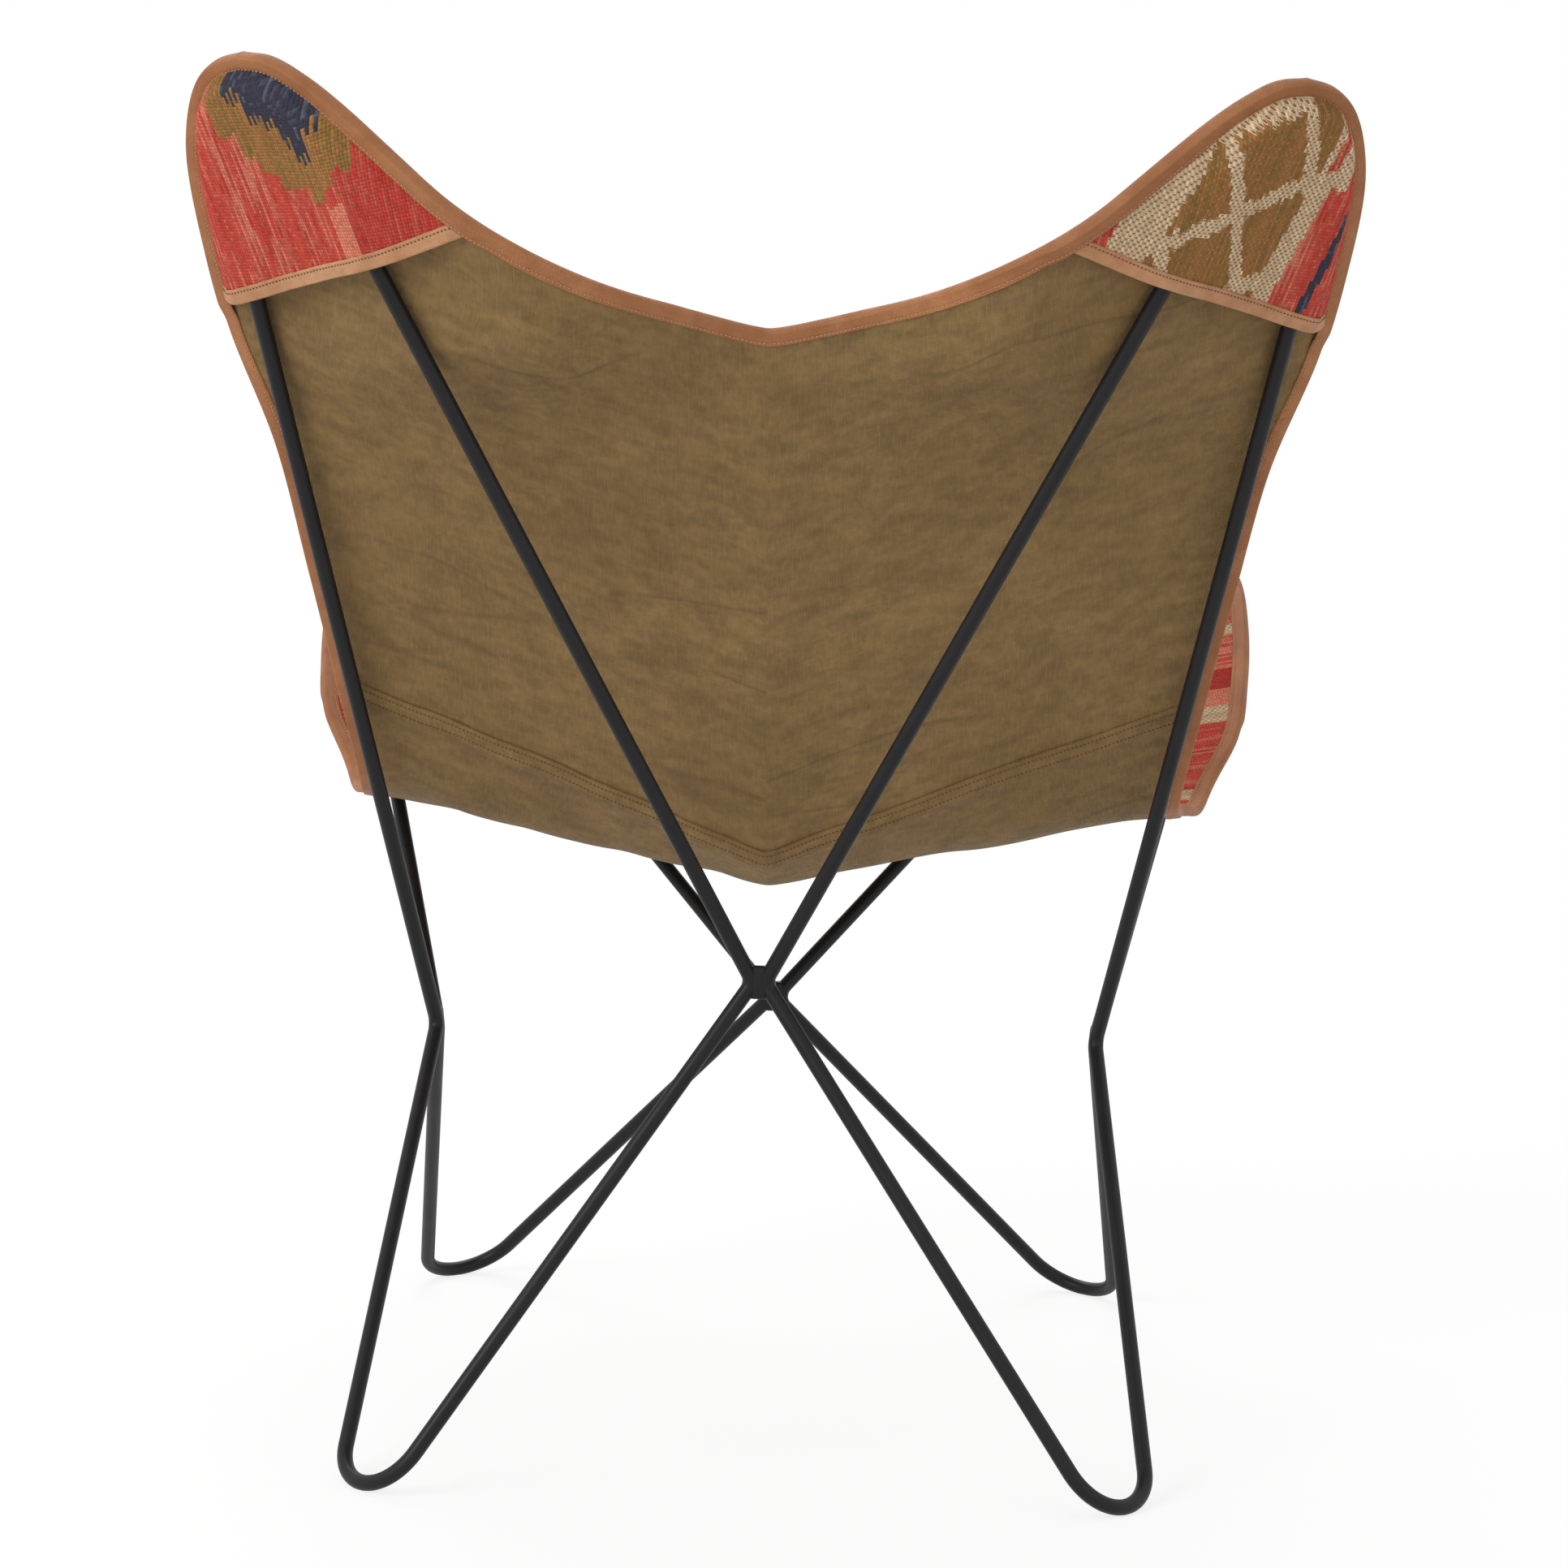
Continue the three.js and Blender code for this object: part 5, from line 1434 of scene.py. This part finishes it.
# Dark brown thread; at the pockets' mouths its darkness is painted shade, for stitches in shadow.
dark_thread_and_stitch_shade = thread_material("dark_thread_and_stitch_shade", (0.075, 0.028, 0.012), (0.15, 0.062, 0.028))
tan_thread = thread_material("tan_thread", (0.33, 0.155, 0.070), (0.52, 0.30, 0.165))

coated_steel, tree, shader = new_material("coated_steel", 0.42, Specular_IOR_Level=0.2)
place = object_place(tree)
peel = noise(tree, place, 800.0, 2.0)
rubbed = noise(tree, place, 24.0, 4.0, 0.65)
black = colour_mix(tree, rubbed, (0.007, 0.0065, 0.007), (0.014, 0.013, 0.014))
feed(shader.inputs["Base Color"], black)
feed(shader.inputs["Roughness"], rubbed * 0.22 + 0.32)
bump(tree, shader, peel, 0.08 * MM, 0.5)
print("two threads and a coated steel")

# %% Finish of each piece
EDGE_RUNS, EDGE_ROWS = 8, 2
finishes = [
    (coated_steel, rods + welds),
    (canvas_cloth, canvas_panels),
    (hide, bindings[:EDGE_RUNS]),
    (pale_hide, bindings[EDGE_RUNS:]),
    (tan_thread, thread[:EDGE_ROWS]),
    (dark_thread_and_stitch_shade, thread[EDGE_ROWS:]),
    (kilim_bands, kilim_panels + pockets[2:]),
    (kilim_patch, pockets[:1]),
    (kilim_lattice, pockets[1:2]),
]
for material, pieces in finishes:
    for piece in pieces:
        piece.data.materials.append(material)
    print(material.name, "on", len(pieces), "pieces")

# %% [markdown]
# Floor, light and camera
#
# The chair stands on a pale floor in even studio light: a wide lamp above on the camera's left, a
# weaker one on its right, and one over the seat. Rays that reach the camera, or that metal sends on,
# see plain white, and the floor still takes the chair's shadow.

# %% Floor and world
def seen_plainly(tree):
    """1 for rays that go to the camera, or by a mirror or glass, and 0 for rays that light things."""
    path = tree.nodes.new("ShaderNodeLightPath")
    labels = ("Is Camera Ray", "Is Glossy Ray", "Is Transmission Ray")
    rays = [Wire(tree, path.outputs[label]) for label in labels]
    return rays[0].math("MAXIMUM", rays[1]).math("MAXIMUM", rays[2])


WORLD_LIGHT = 0.72
FLOOR_WHITE = 0.8
FLOOR_FADE = (0.7, 1.9)
FLOOR_HALF = 6.0
world = bpy.data.worlds.new("studio")
world.use_nodes = True
bpy.context.scene.world = world
tree = world.node_tree
background = tree.nodes["Background"]
background.inputs["Color"].default_value = (1, 1, 1, 1)
feed(background.inputs["Strength"], seen_plainly(tree) * (1 - WORLD_LIGHT) + WORLD_LIGHT)

corners = np.array([[-1, -1, 0], [1, -1, 0], [1, 1, 0], [-1, 1, 0]]) * FLOOR_HALF
floor_mesh = bpy.data.meshes.new("floor")
floor_mesh.from_pydata(corners.tolist(), [], [[0, 1, 2, 3]])
floor = bpy.data.objects.new("floor", floor_mesh)
bpy.context.scene.collection.objects.link(floor)
floor_paint = bpy.data.materials.new("pale_floor")
floor_paint.use_nodes = True
tree = floor_paint.node_tree
shader = tree.nodes["Principled BSDF"]
shader.inputs["Base Color"].default_value = (0.9, 0.9, 0.9, 1)
shader.inputs["Roughness"].default_value = 0.9
glow = tree.nodes.new("ShaderNodeEmission")
blend = tree.nodes.new("ShaderNodeMixShader")
away = node(tree, "ShaderNodeVectorMath", 1, {"operation": "LENGTH"}, Vector=object_place(tree))
faded = spread(tree, away, *FLOOR_FADE) * (1 - FLOOR_WHITE) + FLOOR_WHITE
feed(blend.inputs[0], seen_plainly(tree) * faded)
tree.links.new(shader.outputs[0], blend.inputs[1])
tree.links.new(glow.outputs[0], blend.inputs[2])
tree.links.new(blend.outputs[0], tree.nodes["Material Output"].inputs["Surface"])
floor_mesh.materials.append(floor_paint)
print("floor and world are set")

# %% Lamps
def lamp(name, place, aim, size, power):
    """A square lamp at a place, turned to a point."""
    light = bpy.data.lights.new(name, "AREA")
    light.shape, light.size, light.energy = "SQUARE", size, power
    lamp_object = bpy.data.objects.new(name, light)
    lamp_object.location = place
    lamp_object.rotation_euler = (Vector(aim) - Vector(place)).to_track_quat("-Z", "Y").to_euler()
    bpy.context.scene.collection.objects.link(lamp_object)
    return lamp_object


lamps = [lamp("key", (2.1, 2.2, 2.1), (0, 0, 0.5), 1.8, 62),
         lamp("fill", (-2.2, 1.8, 1.3), (0, 0, 0.5), 1.8, 8),
         lamp("seat", (0.3, -2.0, 2.4), (0, 0, 0.4), 1.8, 30)]
print(len(lamps), "lamps")

# %% Camera
CAMERA_PLACE = np.array([-85.8, 3070.1, 838.6]) * MM + FRAME_SHIFT
YAW, PITCH, ROLL = np.radians([1.45, 7.856, 1.448])
FOCAL_PIXELS, IMAGE_PIXELS = 5700, 1932
SENSOR = 36

ahead = np.array([math.sin(YAW) * math.cos(PITCH), -math.cos(YAW) * math.cos(PITCH),
                  -math.sin(PITCH)])
level = unit(np.cross(ahead, [0, 0, 1]))
above = np.cross(level, ahead)
matrix = np.eye(4)
matrix[:3, 0] = math.cos(ROLL) * level + math.sin(ROLL) * above
matrix[:3, 1] = math.cos(ROLL) * above - math.sin(ROLL) * level
matrix[:3, 2], matrix[:3, 3] = -ahead, CAMERA_PLACE
lens = bpy.data.cameras.new("camera")
lens.sensor_width = SENSOR
lens.lens = SENSOR * FOCAL_PIXELS / IMAGE_PIXELS
camera = bpy.data.objects.new("camera", lens)
camera.matrix_world = Matrix(matrix.tolist())
bpy.context.scene.collection.objects.link(camera)
bpy.context.scene.camera = camera
bpy.context.scene.view_settings.view_transform = "Standard"
print("camera with a", round(lens.lens, 1), "mm lens")
